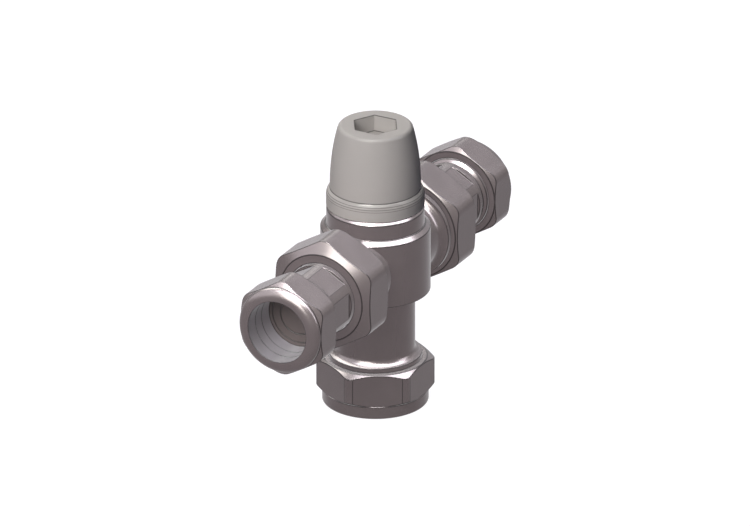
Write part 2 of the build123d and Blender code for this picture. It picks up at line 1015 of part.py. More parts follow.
def union_nut(side):
    """The large nut that draws the tail onto the body's stub."""
    reach = corner_reach(union_flats, union_corner)
    thread_hole_r = stub_thread_r + thread_gap
    hole_r = tail_r + union_hole_gap
    with BuildPart() as nut:
        extrude(
            hexagon(inlet_face(side, union_back), union_flats, union_corner),
            amount=union_front - union_back,
        )
        revolve(
            turned(
                inlet_plane(side),
                (0, union_back),
                (union_ring_r, union_back),
                (reach, union_back + rise(reach - union_ring_r, turning_angle)),
                (reach, union_front - rise(reach - union_face_r, lip_angle)),
                (union_face_r, union_front),
                (0, union_front),
            ),
            axis=inlet_axis(side),
            mode=Mode.INTERSECT,
        )
        revolve(
            turned(
                inlet_plane(side),
                (0, union_back),
                (thread_hole_r, union_back),
                (thread_hole_r, union_seat),
                (hole_r, union_seat),
                (hole_r, union_front),
                (0, union_front),
            ),
            axis=inlet_axis(side),
            mode=Mode.SUBTRACT,
        )
    return nut


def compression_nut(side):
    """The nut that squeezes the olive onto the pipe, with a rounded mouth."""
    reach = corner_reach(nut_flats, nut_corner)
    thread_hole_r = tail_thread_r + thread_gap
    cone_back = nut_cone_front - (thread_hole_r - inlet_bore_r)
    with BuildPart() as nut:
        extrude(
            hexagon(inlet_face(side, nut_back), nut_flats, nut_corner),
            amount=nut_collar_start - nut_back,
        )
        revolve(
            turned(
                inlet_plane(side),
                (0, nut_back),
                (nut_ring_r, nut_back),
                (reach, nut_back + rise(reach - nut_ring_r, turning_angle)),
                (
                    reach,
                    nut_collar_start - rise(reach - nut_collar_r, nut_shoulder_angle),
                ),
                (nut_collar_r, nut_collar_start),
                (0, nut_collar_start),
            ),
            axis=inlet_axis(side),
            mode=Mode.INTERSECT,
        )
        with BuildSketch(inlet_plane(side)):
            with BuildLine():
                Polyline(
                    (0, nut_front),
                    (0, nut_collar_start - thread_chamfer),
                    (nut_collar_r, nut_collar_start - thread_chamfer),
                    (nut_collar_r, nut_round_start),
                )
                EllipticalCenterArc(
                    (nut_round_r, nut_round_start),
                    nut_collar_r - nut_round_r,
                    nut_front - nut_round_start,
                    arc_size=90,
                )
                Line((nut_round_r, nut_front), (0, nut_front))
            make_face()
        revolve(axis=inlet_axis(side))
        revolve(
            turned(
                inlet_plane(side),
                (0, nut_back),
                (thread_hole_r, nut_back),
                (thread_hole_r, cone_back),
                (inlet_bore_r, nut_cone_front),
                (inlet_bore_r, nut_front),
                (0, nut_front),
            ),
            axis=inlet_axis(side),
            mode=Mode.SUBTRACT,
        )
    return nut


def olive(side):
    """The soft ring between the nut's cone and the tail's mouth."""
    outer_r = inlet_bore_r + olive_thickness
    front = nut_cone_front - olive_gap
    with BuildPart() as ring:
        revolve(
            turned(
                inlet_plane(side),
                (inlet_bore_r, tail_end + olive_gap - olive_thickness),
                (outer_r, tail_end + olive_gap),
                (outer_r, front - olive_thickness),
                (inlet_bore_r, front),
            ),
            axis=inlet_axis(side),
        )
    return ring


def union_washer(side):
    """The flat washer between the stub and the tail."""
    with BuildPart() as washer:
        revolve(
            band(inlet_plane(side), washer_bore_r, tail_flange_r, stub_end, tail_base),
            axis=inlet_axis(side),
        )
    return washer


def strainer(side):
    """The slotted basket that stops grit, hung by its rim in the stub's mouth."""
    floor = stub_floor + strainer_floor_gap
    slot_start = floor + strainer_wall + strainer_slot_margin
    slot_end = stub_end - strainer_rim - strainer_slot_margin
    inner_r = strainer_r - strainer_wall
    with BuildPart() as basket:
        revolve(
            turned(
                inlet_plane(side),
                (0, floor),
                (strainer_r, floor),
                (strainer_r, stub_end - strainer_rim),
                (strainer_rim_r, stub_end - strainer_rim),
                (strainer_rim_r, stub_end),
                (inner_r, stub_end),
                (inner_r, floor + strainer_wall),
                (0, floor + strainer_wall),
            ),
            axis=inlet_axis(side),
        )
        with BuildSketch(inlet_face(side, slot_start)):
            with PolarLocations((strainer_r + inner_r) / 2, strainer_slot_count):
                Rectangle(2 * strainer_wall, strainer_slot_width)
        extrude(amount=slot_end - slot_start, mode=Mode.SUBTRACT)
    return basket


def inlet_tail(side):
    """The tail that carries the check valve and takes the pipe, with six spanner flats."""
    mouth_r = inlet_bore_r + olive_thickness
    with BuildPart() as tail:
        revolve(
            turned(
                inlet_plane(side),
                (tail_bore_r, tail_base),
                (tail_flange_r, tail_base),
                (tail_flange_r, union_seat - face_gap),
                (tail_r, union_seat - face_gap),
                (tail_r, relief_start),
                (tail_r - relief_depth, relief_start + relief_depth / 2),
                (tail_r - relief_depth, relief_end),
                (tail_thread_r, tail_thread_start),
                (tail_thread_r, tail_end - tail_rim),
                (tail_thread_r - tail_rim, tail_end),
                (mouth_r, tail_end),
                (inlet_bore_r, tail_end - olive_thickness),
                (inlet_bore_r, pipe_stop),
                (check_r + running_gap, pipe_stop),
                (check_r + running_gap, check_end - face_gap),
                (tail_bore_r, check_end - face_gap),
            ),
            axis=inlet_axis(side),
        )
        with BuildSketch(inlet_face(side, flats_start)):
            Circle(tail_thread_r)
            RegularPolygon(tail_flats / 2, 6, major_radius=False, mode=Mode.SUBTRACT)
        extrude(amount=flats_end - flats_start, mode=Mode.SUBTRACT)
    return tail


def check_housing(side):
    """The shell of the check valve, with its seat at the pipe's end."""
    groove = pipe_stop - check_seal_back
    chamber_r = check_r - check_wall
    with BuildPart() as housing:
        revolve(
            turned(
                inlet_plane(side),
                (chamber_r, check_end),
                (check_r, check_end),
                (check_r, pipe_stop),
                (check_port_r, pipe_stop),
                (check_port_r, pipe_stop - check_seat),
                (chamber_r, pipe_stop - check_seat),
            ),
            axis=inlet_axis(side),
        )
        revolve(
            band(
                inlet_plane(side),
                check_r - check_wall / 2,
                check_r,
                groove - check_wall / 2,
                groove + check_wall / 2,
            ),
            axis=inlet_axis(side),
            mode=Mode.SUBTRACT,
        )
    return housing


def check_seal(side):
    """The rubber ring around the check valve's shell."""
    depth = check_wall / 2 + running_gap
    with BuildPart() as ring:
        revolve(
            squeezed_ring(
                inlet_plane(side),
                check_r + running_gap - depth / 2,
                pipe_stop - check_seal_back,
                depth - 2 * ring_gap,
            ),
            axis=inlet_axis(side),
        )
    return ring


def check_guide(side):
    """The spoked ring that guides the poppet's stem and carries its spring."""
    outer_r = check_r - check_wall - running_gap
    with BuildPart() as guide:
        with BuildSketch(inlet_face(side, check_end)):
            Circle(outer_r)
            Circle(outer_r - check_guide_ring, mode=Mode.SUBTRACT)
            with PolarLocations(outer_r / 2, check_spoke_count):
                Rectangle(outer_r - check_guide_ring, check_spoke_width)
            Circle(check_hub_r)
            Circle(poppet_stem_r + running_gap, mode=Mode.SUBTRACT)
        extrude(amount=check_guide_thickness)
    return guide


def check_poppet(side):
    """The poppet, whose nose fills the port while the valve is shut."""
    with BuildPart() as poppet:
        revolve(
            turned(
                inlet_plane(side),
                (0, poppet_back - poppet_stem),
                (poppet_stem_r, poppet_back - poppet_stem),
                (poppet_stem_r, poppet_back),
                (poppet_head_r, poppet_back),
                (poppet_head_r, poppet_back + poppet_head),
                (check_port_r - face_gap, poppet_back + poppet_head),
                (check_port_r - face_gap, pipe_stop),
                (0, pipe_stop),
            ),
            axis=inlet_axis(side),
        )
    return poppet


def check_spring(side):
    """The light spring that shuts the poppet."""
    start = check_end + check_guide_thickness
    return spring_wire(
        Vector(side * start, 0, inlet_height),
        Vector(side, 0, 0),
        poppet_back - start,
        check_coil_r,
        check_wire,
        check_turns,
    )


# Pieces of the two inlets, hot on the side of -X and cold on the side of +X
inlet_pieces = {
    "union_nut": union_nut,
    "compression_nut": compression_nut,
    "olive": olive,
    "union_washer": union_washer,
    "strainer": strainer,
    "inlet_tail": inlet_tail,
    "check_housing": check_housing,
    "check_seal": check_seal,
    "check_guide": check_guide,
    "check_poppet": check_poppet,
    "check_spring": check_spring,
}
for water, side in (("hot", -1), ("cold", 1)):
    for piece_name, make_piece in inlet_pieces.items():
        name = f"{water}_{piece_name}"
        piece = make_piece(side)
        piece.part.label = name
        export_step(piece.part, f"parts/{name}.step")
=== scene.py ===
"""Looks of a mixing valve: a plated brass body and nuts under a grey moulded cap.

A station is a distance along a piece's own axis: a height on the upright pieces, and a distance
outwards from the upright axis on the pieces of the two inlets. A section lists its corners
anticlockwise as (radius, station), so that the material lies on the left of its outline.
"""

import json
from math import atan2, cos, pi, radians, sin, tan

import bpy
import numpy as np
from mathutils import Matrix, Vector


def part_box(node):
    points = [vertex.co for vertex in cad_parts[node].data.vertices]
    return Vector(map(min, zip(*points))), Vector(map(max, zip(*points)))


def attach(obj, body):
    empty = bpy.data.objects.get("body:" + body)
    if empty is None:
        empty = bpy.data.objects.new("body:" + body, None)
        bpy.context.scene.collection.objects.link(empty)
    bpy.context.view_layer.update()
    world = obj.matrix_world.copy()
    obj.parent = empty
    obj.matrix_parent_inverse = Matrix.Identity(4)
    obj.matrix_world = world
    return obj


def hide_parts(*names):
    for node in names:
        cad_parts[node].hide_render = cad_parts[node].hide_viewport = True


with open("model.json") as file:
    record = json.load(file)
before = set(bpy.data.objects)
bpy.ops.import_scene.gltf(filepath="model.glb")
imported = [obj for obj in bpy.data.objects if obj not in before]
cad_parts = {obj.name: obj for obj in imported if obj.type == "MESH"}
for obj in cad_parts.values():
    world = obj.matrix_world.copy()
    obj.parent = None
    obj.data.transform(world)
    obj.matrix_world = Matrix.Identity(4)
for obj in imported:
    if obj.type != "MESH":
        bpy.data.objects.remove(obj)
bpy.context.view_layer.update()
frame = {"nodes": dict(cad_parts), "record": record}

bl_info = {
    "name": "Mixing valve looks",
    "version": (1, 0, 0),
    "blender": (4, 5, 0),
    "location": "3D View > Sidebar > Mixing valve",
    "description": "Builds the surfaces, finishes and stage of a mixing valve round its CAD frame",
    "category": "Mesh",
}

MM = 0.001

# A corner's usual cut and its steps
EDGE_CUT = 0.15 * MM
EDGE_STEPS = 4
# A cut above this is a curve, with more steps and no edge line. A side below it has fainter lines.
EDGE_SPAN = 0.3 * MM
CURVE_STEPS = 14
LONG_CURVE = 6.0 * MM
LONG_CURVE_STEPS = 36
# How far a corner's line and the points that keep its sides flat reach along each side
LINE_REACH = 0.09 * MM
SUPPORT = 0.14 * MM
# The most that both cuts take of a side, and a support of what they leave
MOST_CUT = 0.96
SUPPORT_SHARE = 0.45
SMALLEST = 1e-9

# Angles round a turned piece and round a hexagon, which are closer at the ends of its flats
ROUND_STEPS = 192
ROUND_ANGLES = np.linspace(0.0, 2 * pi, ROUND_STEPS, endpoint=False)
CORNER = pi / 6
SIXTH = pi / 3
SIXTH_STEPS = 28
BREAK_STEP = radians(0.7)
ANGLE_DIGITS = 9

# Chamfers of the nuts, in degrees from their faces
CHAMFER_DEG = 30
UNION_FRONT_DEG = 25
COLLAR_DEG = 39

# The angle from which an edge of a combined piece is sharp
SHARP = radians(40)
# How far a spanner flat stays inside the round shank at least
FLAT_SINK = 0.002 * MM


def ends(node, axis):
    """The two ends of a CAD node along an axis, the one nearer the origin first, in metres."""
    low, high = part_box(node)
    return sorted((low[axis], high[axis]), key=abs)


def width(node, axis):
    """The width of a CAD node along an axis, in millimetres."""
    low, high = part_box(node)
    return (high[axis] - low[axis]) / MM


INLET_HEIGHT = sum(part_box("cold_inlet_tail")[end][2] for end in (0, 1)) / 2
SPIGOT_END, NECK_TOP = ends("valve_body", 2)
STUB_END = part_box("valve_body")[1][0]
OUTLET_NUT_TOP = ends("outlet_nut", 2)[1]
CAP_BASE, CAP_TOP = ends("cap", 2)
UNION_BACK, UNION_FRONT = ends("cold_union_nut", 0)
TAIL_BASE, TAIL_END = ends("cold_inlet_tail", 0)
NUT_BACK, NUT_FRONT = ends("cold_compression_nut", 0)
CHECK_END, PIPE_STOP = ends("cold_check_housing", 0)
POPPET_END = ends("cold_check_poppet", 0)[0]
OLIVE_BACK, OLIVE_FRONT = ends("cold_olive", 0)
OUTLET_OLIVE_BASE, OUTLET_OLIVE_TOP = ends("outlet_olive", 2)
# The way that each inlet points along X
SIDES = {"hot": -1, "cold": 1}


def length(name, default, description):
    """A length property in metres."""
    return bpy.props.FloatProperty(
        name=name,
        description=description,
        default=default,
        min=0.0,
        precision=5,
        unit="LENGTH",
    )


def lengths(**sizes):
    """Length properties by name, each from its default in millimetres and its description."""
    return {
        key: length(key.replace("_", " ").capitalize(), default * MM, description)
        for key, (default, description) in sizes.items()
    }


def share(name, default, description, most=1.0):
    """A plain number property from 0 to most."""
    return bpy.props.FloatProperty(
        name=name, description=description, default=default, min=0.0, max=most
    )


def colour(name, default, description):
    """A linear colour property."""
    return bpy.props.FloatVectorProperty(
        name=name,
        description=description,
        default=default,
        size=3,
        min=0.0,
        max=1.0,
        subtype="COLOR",
    )


class BodySizes(bpy.types.PropertyGroup):
    """Sizes of the valve body."""

    __annotations__ = lengths(
        flange_gap=(0.1, "Gap between the outlet nut and the flange"),
        flange_height=(1.6, "Height of the rim above the outlet nut"),
        tube_radius=(13.5, "Outside radius of the outlet tube"),
        tube_cove=(2.4, "Radius of the cove above the flange"),
        boss_radius=(width("valve_body", 1) / 2, "Radius of the boss"),
        boss_height=(22.8, "Height of the boss, centred on the inlets"),
        shoulder=(1.4, "Height of the sloped shoulder above the boss"),
        neck_radius=(16.7, "Radius of the neck"),
        neck_step=(0.4, "Width of the step round the neck's foot"),
        neck_chamfer=(0.9, "Chamfer at the top of the neck"),
        stub_radius=(13.4, "Radius of an inlet stub"),
        stub_cove=(2.7, "Radius of the cove below a stub's collar"),
        stub_start=(14.0, "Station inside the boss where a stub starts"),
        collar_start=(22.6, "Station where a stub's collar starts"),
        collar_end=(24.5, "Station where a stub's collar ends"),
        stub_thread=(15.6, "Outside radius of a stub's thread"),
        stub_bore=(11.0, "Radius of a stub's bore"),
        stub_floor=(17.0, "Station of the floor of a stub's bore"),
        rim_bore=(12.15, "Radius of the seat of the strainer's rim"),
        rim_depth=(1.2, "Depth of the seat of the strainer's rim"),
        outlet_thread=(15.7, "Outside radius of the outlet's thread"),
        outlet_bore=(14.05, "Radius of the socket for the outlet pipe"),
        outlet_socket=(9.3, "Depth of the outlet's socket"),
        mouth=(1.225, "Width of the cone in the mouth of the outlet's socket"),
        tube_bore=(10.5, "Radius of the bore of the outlet tube"),
        cartridge_bore=(11.5, "Radius of the cartridge's bore"),
        bonnet_bore=(14.0, "Radius of the thread for the bonnet"),
        cartridge_below=(9.45, "Depth of the seat below the inlets"),
        cartridge_above=(9.45, "Height of the bore above the inlets"),
        gallery_radius=(14.0, "Radius of the two galleries"),
        gallery_height=(5.6, "Height of each gallery"),
        land_half=(1.35, "Half of the wall between the galleries"),
        passage_radius=(10.0, "Radius of the round ends of a passage to a gallery"),
        thread_edge=(0.5, "Chamfer at the start of a thread"),
    )


class OutletNutSizes(bpy.types.PropertyGroup):
    """Sizes of the outlet nut and its olive."""

    __annotations__ = lengths(
        flats=(35.7, "Width across the flats"),
        corner=(3.2, "Radius of the hexagon's rounded corners"),
        ring_radius=(17.6, "Radius where the upper chamfer starts"),
        skirt_radius=(18.1, "Radius of the round skirt"),
        skirt_height=(4.6, "Height of the round skirt"),
        skirt_round=(0.9, "Rounding of the skirt's lower edge"),
        thread=(15.75, "Radius of the thread's hole"),
        bore=(14.05, "Radius of the lip's bore"),
        lip=(2.6, "Thickness of the lip under the olive"),
        olive=(1.3, "Thickness of the olive"),
    )


class UnionNutSizes(bpy.types.PropertyGroup):
    """Sizes of the two union nuts."""

    __annotations__ = lengths(
        flats=(width("cold_union_nut", 1), "Width across the flats"),
        corner=(5.0, "Radius of the hexagon's rounded corners"),
        ring_radius=(17.5, "Radius where the inner chamfer starts"),
        face_radius=(15.7, "Radius where the outer chamfer starts"),
        thread=(15.65, "Radius of the thread's hole"),
        hole=(12.7, "Radius of the hole round the tail"),
        lip=(4.3, "Thickness of the lip that draws the tail in"),
    )


class TailSizes(bpy.types.PropertyGroup):
    """Sizes of the two inlet tails."""

    __annotations__ = lengths(
        radius=(12.45, "Radius of the round shank"),
        flange=(width("cold_inlet_tail", 1) / 2, "Radius of the flange"),
        flange_end=(35.3, "Station where the flange ends"),
        flats=(23.0, "Width across the six spanner flats"),
        flats_start=(41.2, "Station where the flats start"),
        flats_end=(52.6, "Station where the flats end"),
        relief_start=(54.3, "Station where the relief starts"),
        relief_end=(55.9, "Station where the relief ends"),
        relief_depth=(0.6, "Depth of the relief"),
        thread=(12.95, "Outside radius of the thread"),
        thread_start=(57.0, "Station where the thread starts"),
        rim=(0.5, "Chamfer at the end of the thread"),
        mouth=(1.3, "Width of the cone in the pipe socket's mouth"),
        pipe_bore=(11.05, "Radius of the pipe's socket"),
        check_bore=(9.7, "Radius of the check valve's seat"),
        check_start=(42.35, "Station of the check valve's seat"),
        bore=(8.4, "Radius of the inner bore"),
    )


class CompressionNutSizes(bpy.types.PropertyGroup):
    """Sizes of the two compression nuts and their olives."""

    __annotations__ = lengths(
        flats=(width("cold_compression_nut", 1), "Width across the flats"),
        corner=(4.5, "Radius of the hexagon's rounded corners"),
        ring_radius=(15.3, "Radius where the inner chamfer starts"),
        collar_radius=(15.35, "Radius of the round mouth"),
        collar_start=(69.1, "Station where the round mouth starts"),
        round_length=(2.34, "Length of the mouth's rounding"),
        round_width=(4.0, "Radial width of the mouth's rounding"),
        thread=(13.0, "Radius of the thread's hole"),
        bore=(11.05, "Radius of the lip's bore"),
        lip=(5.3, "Thickness of the lip before the olive's cone"),
        olive=(1.3, "Thickness of the olive"),
    )


class CheckValveSizes(bpy.types.PropertyGroup):
    """Sizes of the check valves' shells and poppets."""

    __annotations__ = lengths(
        radius=(9.65, "Outside radius of the shell"),
        wall=(0.95, "Wall of the shell"),
        port=(6.6, "Radius of the port"),
        seat=(1.2, "Thickness of the shell round the port"),
        seal_back=(4.0, "Distance from the port's face to the seal's groove"),
        port_gap=(0.1, "Gap round the poppet's nose"),
        poppet_gap=(0.05, "Gap between the seat and the poppet's head"),
        head_radius=(7.6, "Radius of the poppet's head"),
        head=(1.5, "Thickness of the poppet's head"),
        stem=(1.9, "Radius of the poppet's stem"),
    )


class CapSizes(bpy.types.PropertyGroup):
    """Sizes of the cap."""

    __annotations__ = lengths(
        radius=(width("cap", 0) / 2, "Radius of the band round the foot"),
        wall=(1.8, "Wall of the moulding"),
        band=(3.8, "Height of the band round the foot"),
        ledge=(2.6, "Height of the rounded ledge above the band"),
        foot_radius=(15.5, "Radius where the dome starts"),
        top_radius=(12.6, "Radius where the dome ends"),
        edge=(1.2, "Cut of the rounding at the top edge"),
        key_flats=(14.0, "Width across the flats of the key socket"),
        key_corner=(0.35, "Radius in the corners of the key socket"),
        key_depth=(5.9, "Depth of the key socket"),
        key_wall=(1.6, "Wall round the key socket, under the roof"),
        key_floor=(1.5, "Thickness of the key socket's floor"),
        gate_radius=(2.2, "Radius of the gate mark in the socket"),
        gate_height=(0.25, "Height of the gate mark"),
        rib_reach=(10.05, "Radius of the ribs' inner ends"),
        rib_width=(1.2, "Thickness of a rib"),
        rib_height=(6.0, "Height of a rib"),
        rib_start=(3.3, "Height of the ribs above the cap's rim"),
        rib_sink=(0.3, "How far a rib reaches into the wall"),
    )
    ledge_lines: bpy.props.IntProperty(
        name="Ledge lines", description="Number of fine lines round the ledge", default=3, min=0
    )


class MetalFinish(bpy.types.PropertyGroup):
    """Finish of the plated pieces."""

    plating: colour("Plating", (0.170, 0.142, 0.142), "Colour of the satin plating")
    line: colour("Edge line", (0.045, 0.038, 0.038), "Colour of the dark line along the edges")
    line_share: share("Edge share", 0.9, "How strongly the dark line shows")
    metallic: share("Metallic", 0.74, "How metallic the plating is under its blasted grain")
    roughness: share("Roughness", 0.25, "Roughness of the satin plating")
    grain: length("Grain", 0.22 * MM, "Size of the plating's fine grain")
    cloud: length("Cloud", 7.0 * MM, "Size of the plating's soft variation")


class PlasticFinish(bpy.types.PropertyGroup):
    """Finish of the moulded cap."""

    grey: colour("Grey", (0.425, 0.402, 0.382), "Colour of the cap's plastic")
    line: colour("Edge line", (0.10, 0.096, 0.092), "Colour of the dark line along the edges")
    line_share: share("Edge share", 0.75, "How strongly the dark line shows")
    metallic: share("Metallic", 0.015, "Sheen of the moulded surface")
    roughness: share("Roughness", 0.13, "Roughness of the moulded surface")
    grain: length("Grain", 0.18 * MM, "Size of the moulded texture's grain")


class StageSettings(bpy.types.PropertyGroup):
    """Floor, backdrop, lamps and camera."""

    pixels_per_millimetre: share("Pixels per millimetre", 2.95, "Scale of the picture", 20.0)
    picture_width: share("Picture width", 750.0, "Width of the picture in pixels", 5000.0)
    middle_height: length("Middle height", 50.0 * MM, "Height that the camera looks at")
    shift_pixels: share("Shift", 0.4, "How far the picture's middle lies left of the axis", 9.0)
    distance: length("Distance", 0.6, "Distance from the camera to the valve")
    world: share("World", 0.09, "Brightness of the plain surroundings", 4.0)
    world_tint: colour("World tint", (0.7, 0.78, 1.0), "Colour of the sky on matt surfaces")
    floor: colour("Floor", (0.13, 0.12, 0.145), "Colour of the floor and backdrop")
    seen_white: share("Seen white", 0.95, "White added where the camera sees the floor")
    mirrored_white: share("Mirrored white", 0.68, "White added where a reflection shows the floor")
    floor_size: length("Floor size", 6.0, "Width of the floor")


GROUPS = {
    "mixing_valve_body": BodySizes,
    "mixing_valve_outlet_nut": OutletNutSizes,
    "mixing_valve_union_nuts": UnionNutSizes,
    "mixing_valve_tails": TailSizes,
    "mixing_valve_compression_nuts": CompressionNutSizes,
    "mixing_valve_check_valves": CheckValveSizes,
    "mixing_valve_cap": CapSizes,
    "mixing_valve_metal": MetalFinish,
    "mixing_valve_plastic": PlasticFinish,
    "mixing_valve_stage": StageSettings,
}


def section(corners, angles):
    """Sections with rounded corners, and how strong the edge line is at each of their points.

    A corner is (radius, station), then one cut or the cuts before and after it where they are not
    the usual ones, and then the number of fine lines along its curve. Its radius and station are
    numbers, or arrays with one value for each angle.
    From a point A before the corner C to a point B after it runs the conic
    ((1 - u)^2 A + 2 u (1 - u) w C + u^2 B) / ((1 - u)^2 + 2 u (1 - u) w + u^2), where w is the
    cosine of half the turn: an arc of a circle for equal cuts, and a quarter of an ellipse for
    unequal cuts at a right angle. Of the two points close by on either side, the inner one ends the
    edge's line and the outer one keeps the sides' shading flat.
    """
    count = len(corners)
    points = np.empty((len(angles), count, 2))
    before, after = np.empty((2, count))
    lines = []
    for k, (radius, station, *cuts) in enumerate(corners):
        points[:, k, 0] = radius
        points[:, k, 1] = station
        before[k] = cuts[0] if cuts else EDGE_CUT
        after[k] = cuts[1] if len(cuts) > 1 else before[k]
        lines.append(cuts[2] if len(cuts) > 2 else 0)
    side = np.roll(points, -1, axis=1) - points
    span = np.linalg.norm(side, axis=2)
    ahead = side / np.maximum(span, SMALLEST)[..., None]
    back = -np.roll(ahead, 1, axis=1)
    wanted = after + np.roll(before, -1)
    given = np.minimum(1.0, MOST_CUT * span / wanted)
    first = points + back * (np.roll(given, 1, axis=1) * before)[..., None]
    last = points + ahead * (given * after)[..., None]
    support = np.minimum(SUPPORT, SUPPORT_SHARE * (span - given * wanted))[..., None]
    leads = back * np.roll(support, 1, axis=1)
    trails = ahead * support
    strength = np.clip(np.minimum(span, np.roll(span, 1, axis=1)) / EDGE_SPAN, 0.0, 1.0)
    weight = np.sqrt(np.clip((1 - (back * ahead).sum(axis=2)) / 2, 0.0, 1.0))
    line = LINE_REACH / SUPPORT
    parts = []
    edges = []
    for k in range(1, count - 1) if on_axis(corners[0]) else range(count):
        largest = max(before[k], after[k])
        steps = EDGE_STEPS
        if largest > EDGE_SPAN:
            steps = LONG_CURVE_STEPS if largest > LONG_CURVE else CURVE_STEPS
        u = np.linspace(0.0, 1.0, steps + 1)[None, :, None]
        a, b, c, lead, trail = (part[:, k, None] for part in (first, last, points, leads, trails))
        share_a, share_b = (1 - u) ** 2, u**2
        share_c = 2 * u * (1 - u) * weight[:, k, None, None]
        conic = (share_a * a + share_c * c + share_b * b) / (share_a + share_c + share_b)
        parts += [a + lead, a + line * lead, conic, b + line * trail, b + trail]
        edge = np.zeros((len(angles), steps + 5))
        if largest <= EDGE_SPAN:
            edge[:, 1:-1] = strength[:, k, None]
        else:
            edge[:, np.linspace(2, steps + 1, lines[k] + 1, dtype=int)[: lines[k]]] = 1.0
        edges.append(edge)
    return np.concatenate(parts, axis=1), np.concatenate(edges, axis=1)


def on_axis(corner):
    """Whether a corner lies on the axis, where an open section starts or ends."""
    return np.ndim(corner[0]) == 0 and corner[0] == 0


def place(side, angles, rings, lift):
    """Points of sections turned to their angles.

    On the upright axis, side 0, they are (r cos a, r sin a, s). On an inlet, side -1 or +1, they
    are (side s, -side r sin a, r cos a) from the height of the inlets and a lift above it.
    """
    radius, station = np.moveaxis(rings, -1, 0)
    across = radius * np.cos(angles)[:, None]
    along = radius * np.sin(angles)[:, None]
    if side == 0:
        return np.stack((across, along, station), axis=-1)
    return np.stack((side * station, -side * along, INLET_HEIGHT + lift + across), axis=-1)


def skin(name, corners, angles=ROUND_ANGLES, side=0, lift=0.0, seams=None):
    """A closed surface: the section of the corners at each angle, placed round its axis.

    A section that starts and ends on the axis is closed there by a fan of triangles at each pole.
    Seams are the radius of one of its sides at each angle, and the angles of that side's lines.
    """
    rings, edge = section(corners, angles)
    if seams:
        seam_radius, lined = seams
        on_side = np.abs(rings[..., 0] - seam_radius[:, None]) < SMALLEST
        edge = np.maximum(edge, on_side & lined[:, None])
    edge = edge.ravel()
    points = place(side, angles, rings, lift).reshape(-1, 3)
    here = np.arange(len(points)).reshape(rings.shape[:2])
    beyond = np.roll(here, -1, axis=0)
    after, beyond_after = np.roll((here, beyond), -1, axis=2)
    quads = np.stack((here, beyond, beyond_after, after), axis=-1)
    fans = np.empty((0, 3), int)
    if on_axis(corners[0]):
        quads = quads[:, :-1]
        low = np.full(len(angles), len(points))
        fans = np.concatenate(
            (
                np.stack((low, beyond[:, 0], here[:, 0]), axis=-1),
                np.stack((here[:, -1], beyond[:, -1], low + 1), axis=-1),
            )
        )
        poles = np.array([[corners[0][:2]], [corners[-1][:2]]], float)
        points = np.concatenate((points, place(side, np.zeros(2), poles, lift).reshape(-1, 3)))
        edge = np.append(edge, np.zeros(2))
    quads = quads.reshape(-1, 4)
    mesh = bpy.data.meshes.new(name)
    mesh.from_pydata(points.tolist(), [], quads.tolist() + fans.tolist())
    mesh.attributes.new("edge", "FLOAT", "POINT").data.foreach_set("value", edge.astype(np.float32))
    mesh.shade_smooth()
    if enclosed(points, np.concatenate((quads[:, :3], quads[:, [0, 2, 3]], fans))) < 0:
        raise RuntimeError(f"the faces of {name} point inwards")
    return new_object(name, mesh)


def new_object(name, data):
    """An object in the scene with its data."""
    made = bpy.data.objects.new(name, data)
    bpy.context.scene.collection.objects.link(made)
    return made


def enclosed(points, triangles):
    """The volume inside closed triangles: a sixth of the sum of (a x b) . c over their corners."""
    a, b, c = (points[triangles[:, k]] for k in range(3))
    return np.einsum("ij,ij", np.cross(a, b), c) / 6


def six_angles(apart):
    """Angles round a hexagon with a corner at 0, close together that far apart from each corner."""
    marks = np.array([-apart, apart])
    close = np.concatenate((marks - BREAK_STEP, marks, marks + BREAK_STEP))
    even = np.linspace(-CORNER, CORNER, SIXTH_STEPS, endpoint=False)
    clear = np.abs(even[:, None] - close[None, :]).min(axis=1) > BREAK_STEP
    sixth = np.unique(np.concatenate((even[clear], close)).round(ANGLE_DIGITS))
    return np.concatenate([sixth + k * SIXTH for k in range(6)])


def from_corner(angles):
    """How far each angle is from the nearest corner of a hexagon with a corner at 0."""
    return np.abs((angles + CORNER) % SIXTH - CORNER)


def near_break(angles, apart):
    """Whether each angle is the one that lies apart from the nearest corner of a hexagon."""
    return np.abs(from_corner(angles) - apart) < BREAK_STEP / 2


def corner_break(flats, corner):
    """The angle from a hexagon's corner at which its rounding meets the flat."""
    centre = (flats / 2 - corner) / cos(CORNER)
    return atan2(corner * sin(CORNER), centre + corner * cos(CORNER))


def hexagon(angles, flats, corner):
    """The radius of a rounded hexagon: a circle's arc near a corner and a straight flat elsewhere.

    With c the distance of the arc's centre and R its radius, the arc is
    c cos t + sqrt(R^2 - c^2 sin^2 t) at an angle t from the corner.
    """
    apart = from_corner(angles)
    centre = (flats / 2 - corner) / cos(CORNER)
    arc = centre * np.cos(apart) + np.sqrt(
        np.maximum(corner**2 - (centre * np.sin(apart)) ** 2, 0.0)
    )
    flat = flats / 2 / np.cos(CORNER - apart)
    return np.where(apart < corner_break(flats, corner), arc, flat)


def rise(run, degrees=CHAMFER_DEG):
    """How far a chamfer goes along the axis over a radial run."""
    return run * tan(radians(degrees))


def combine(piece, other, operation):
    """Joins another closed surface to a piece, or cuts it out, and deletes the other one."""
    modifier = piece.modifiers.new("combine", "BOOLEAN")
    modifier.object = other
    modifier.operation = operation
    modifier.solver = "MANIFOLD"
    graph = bpy.context.evaluated_depsgraph_get()
    combined = bpy.data.meshes.new_from_object(piece.evaluated_get(graph))
    if not combined.polygons:
        raise RuntimeError(f"{piece.name} could not be combined with {other.name}")
    piece.modifiers.clear()
    piece.data = combined
    bpy.data.objects.remove(other)


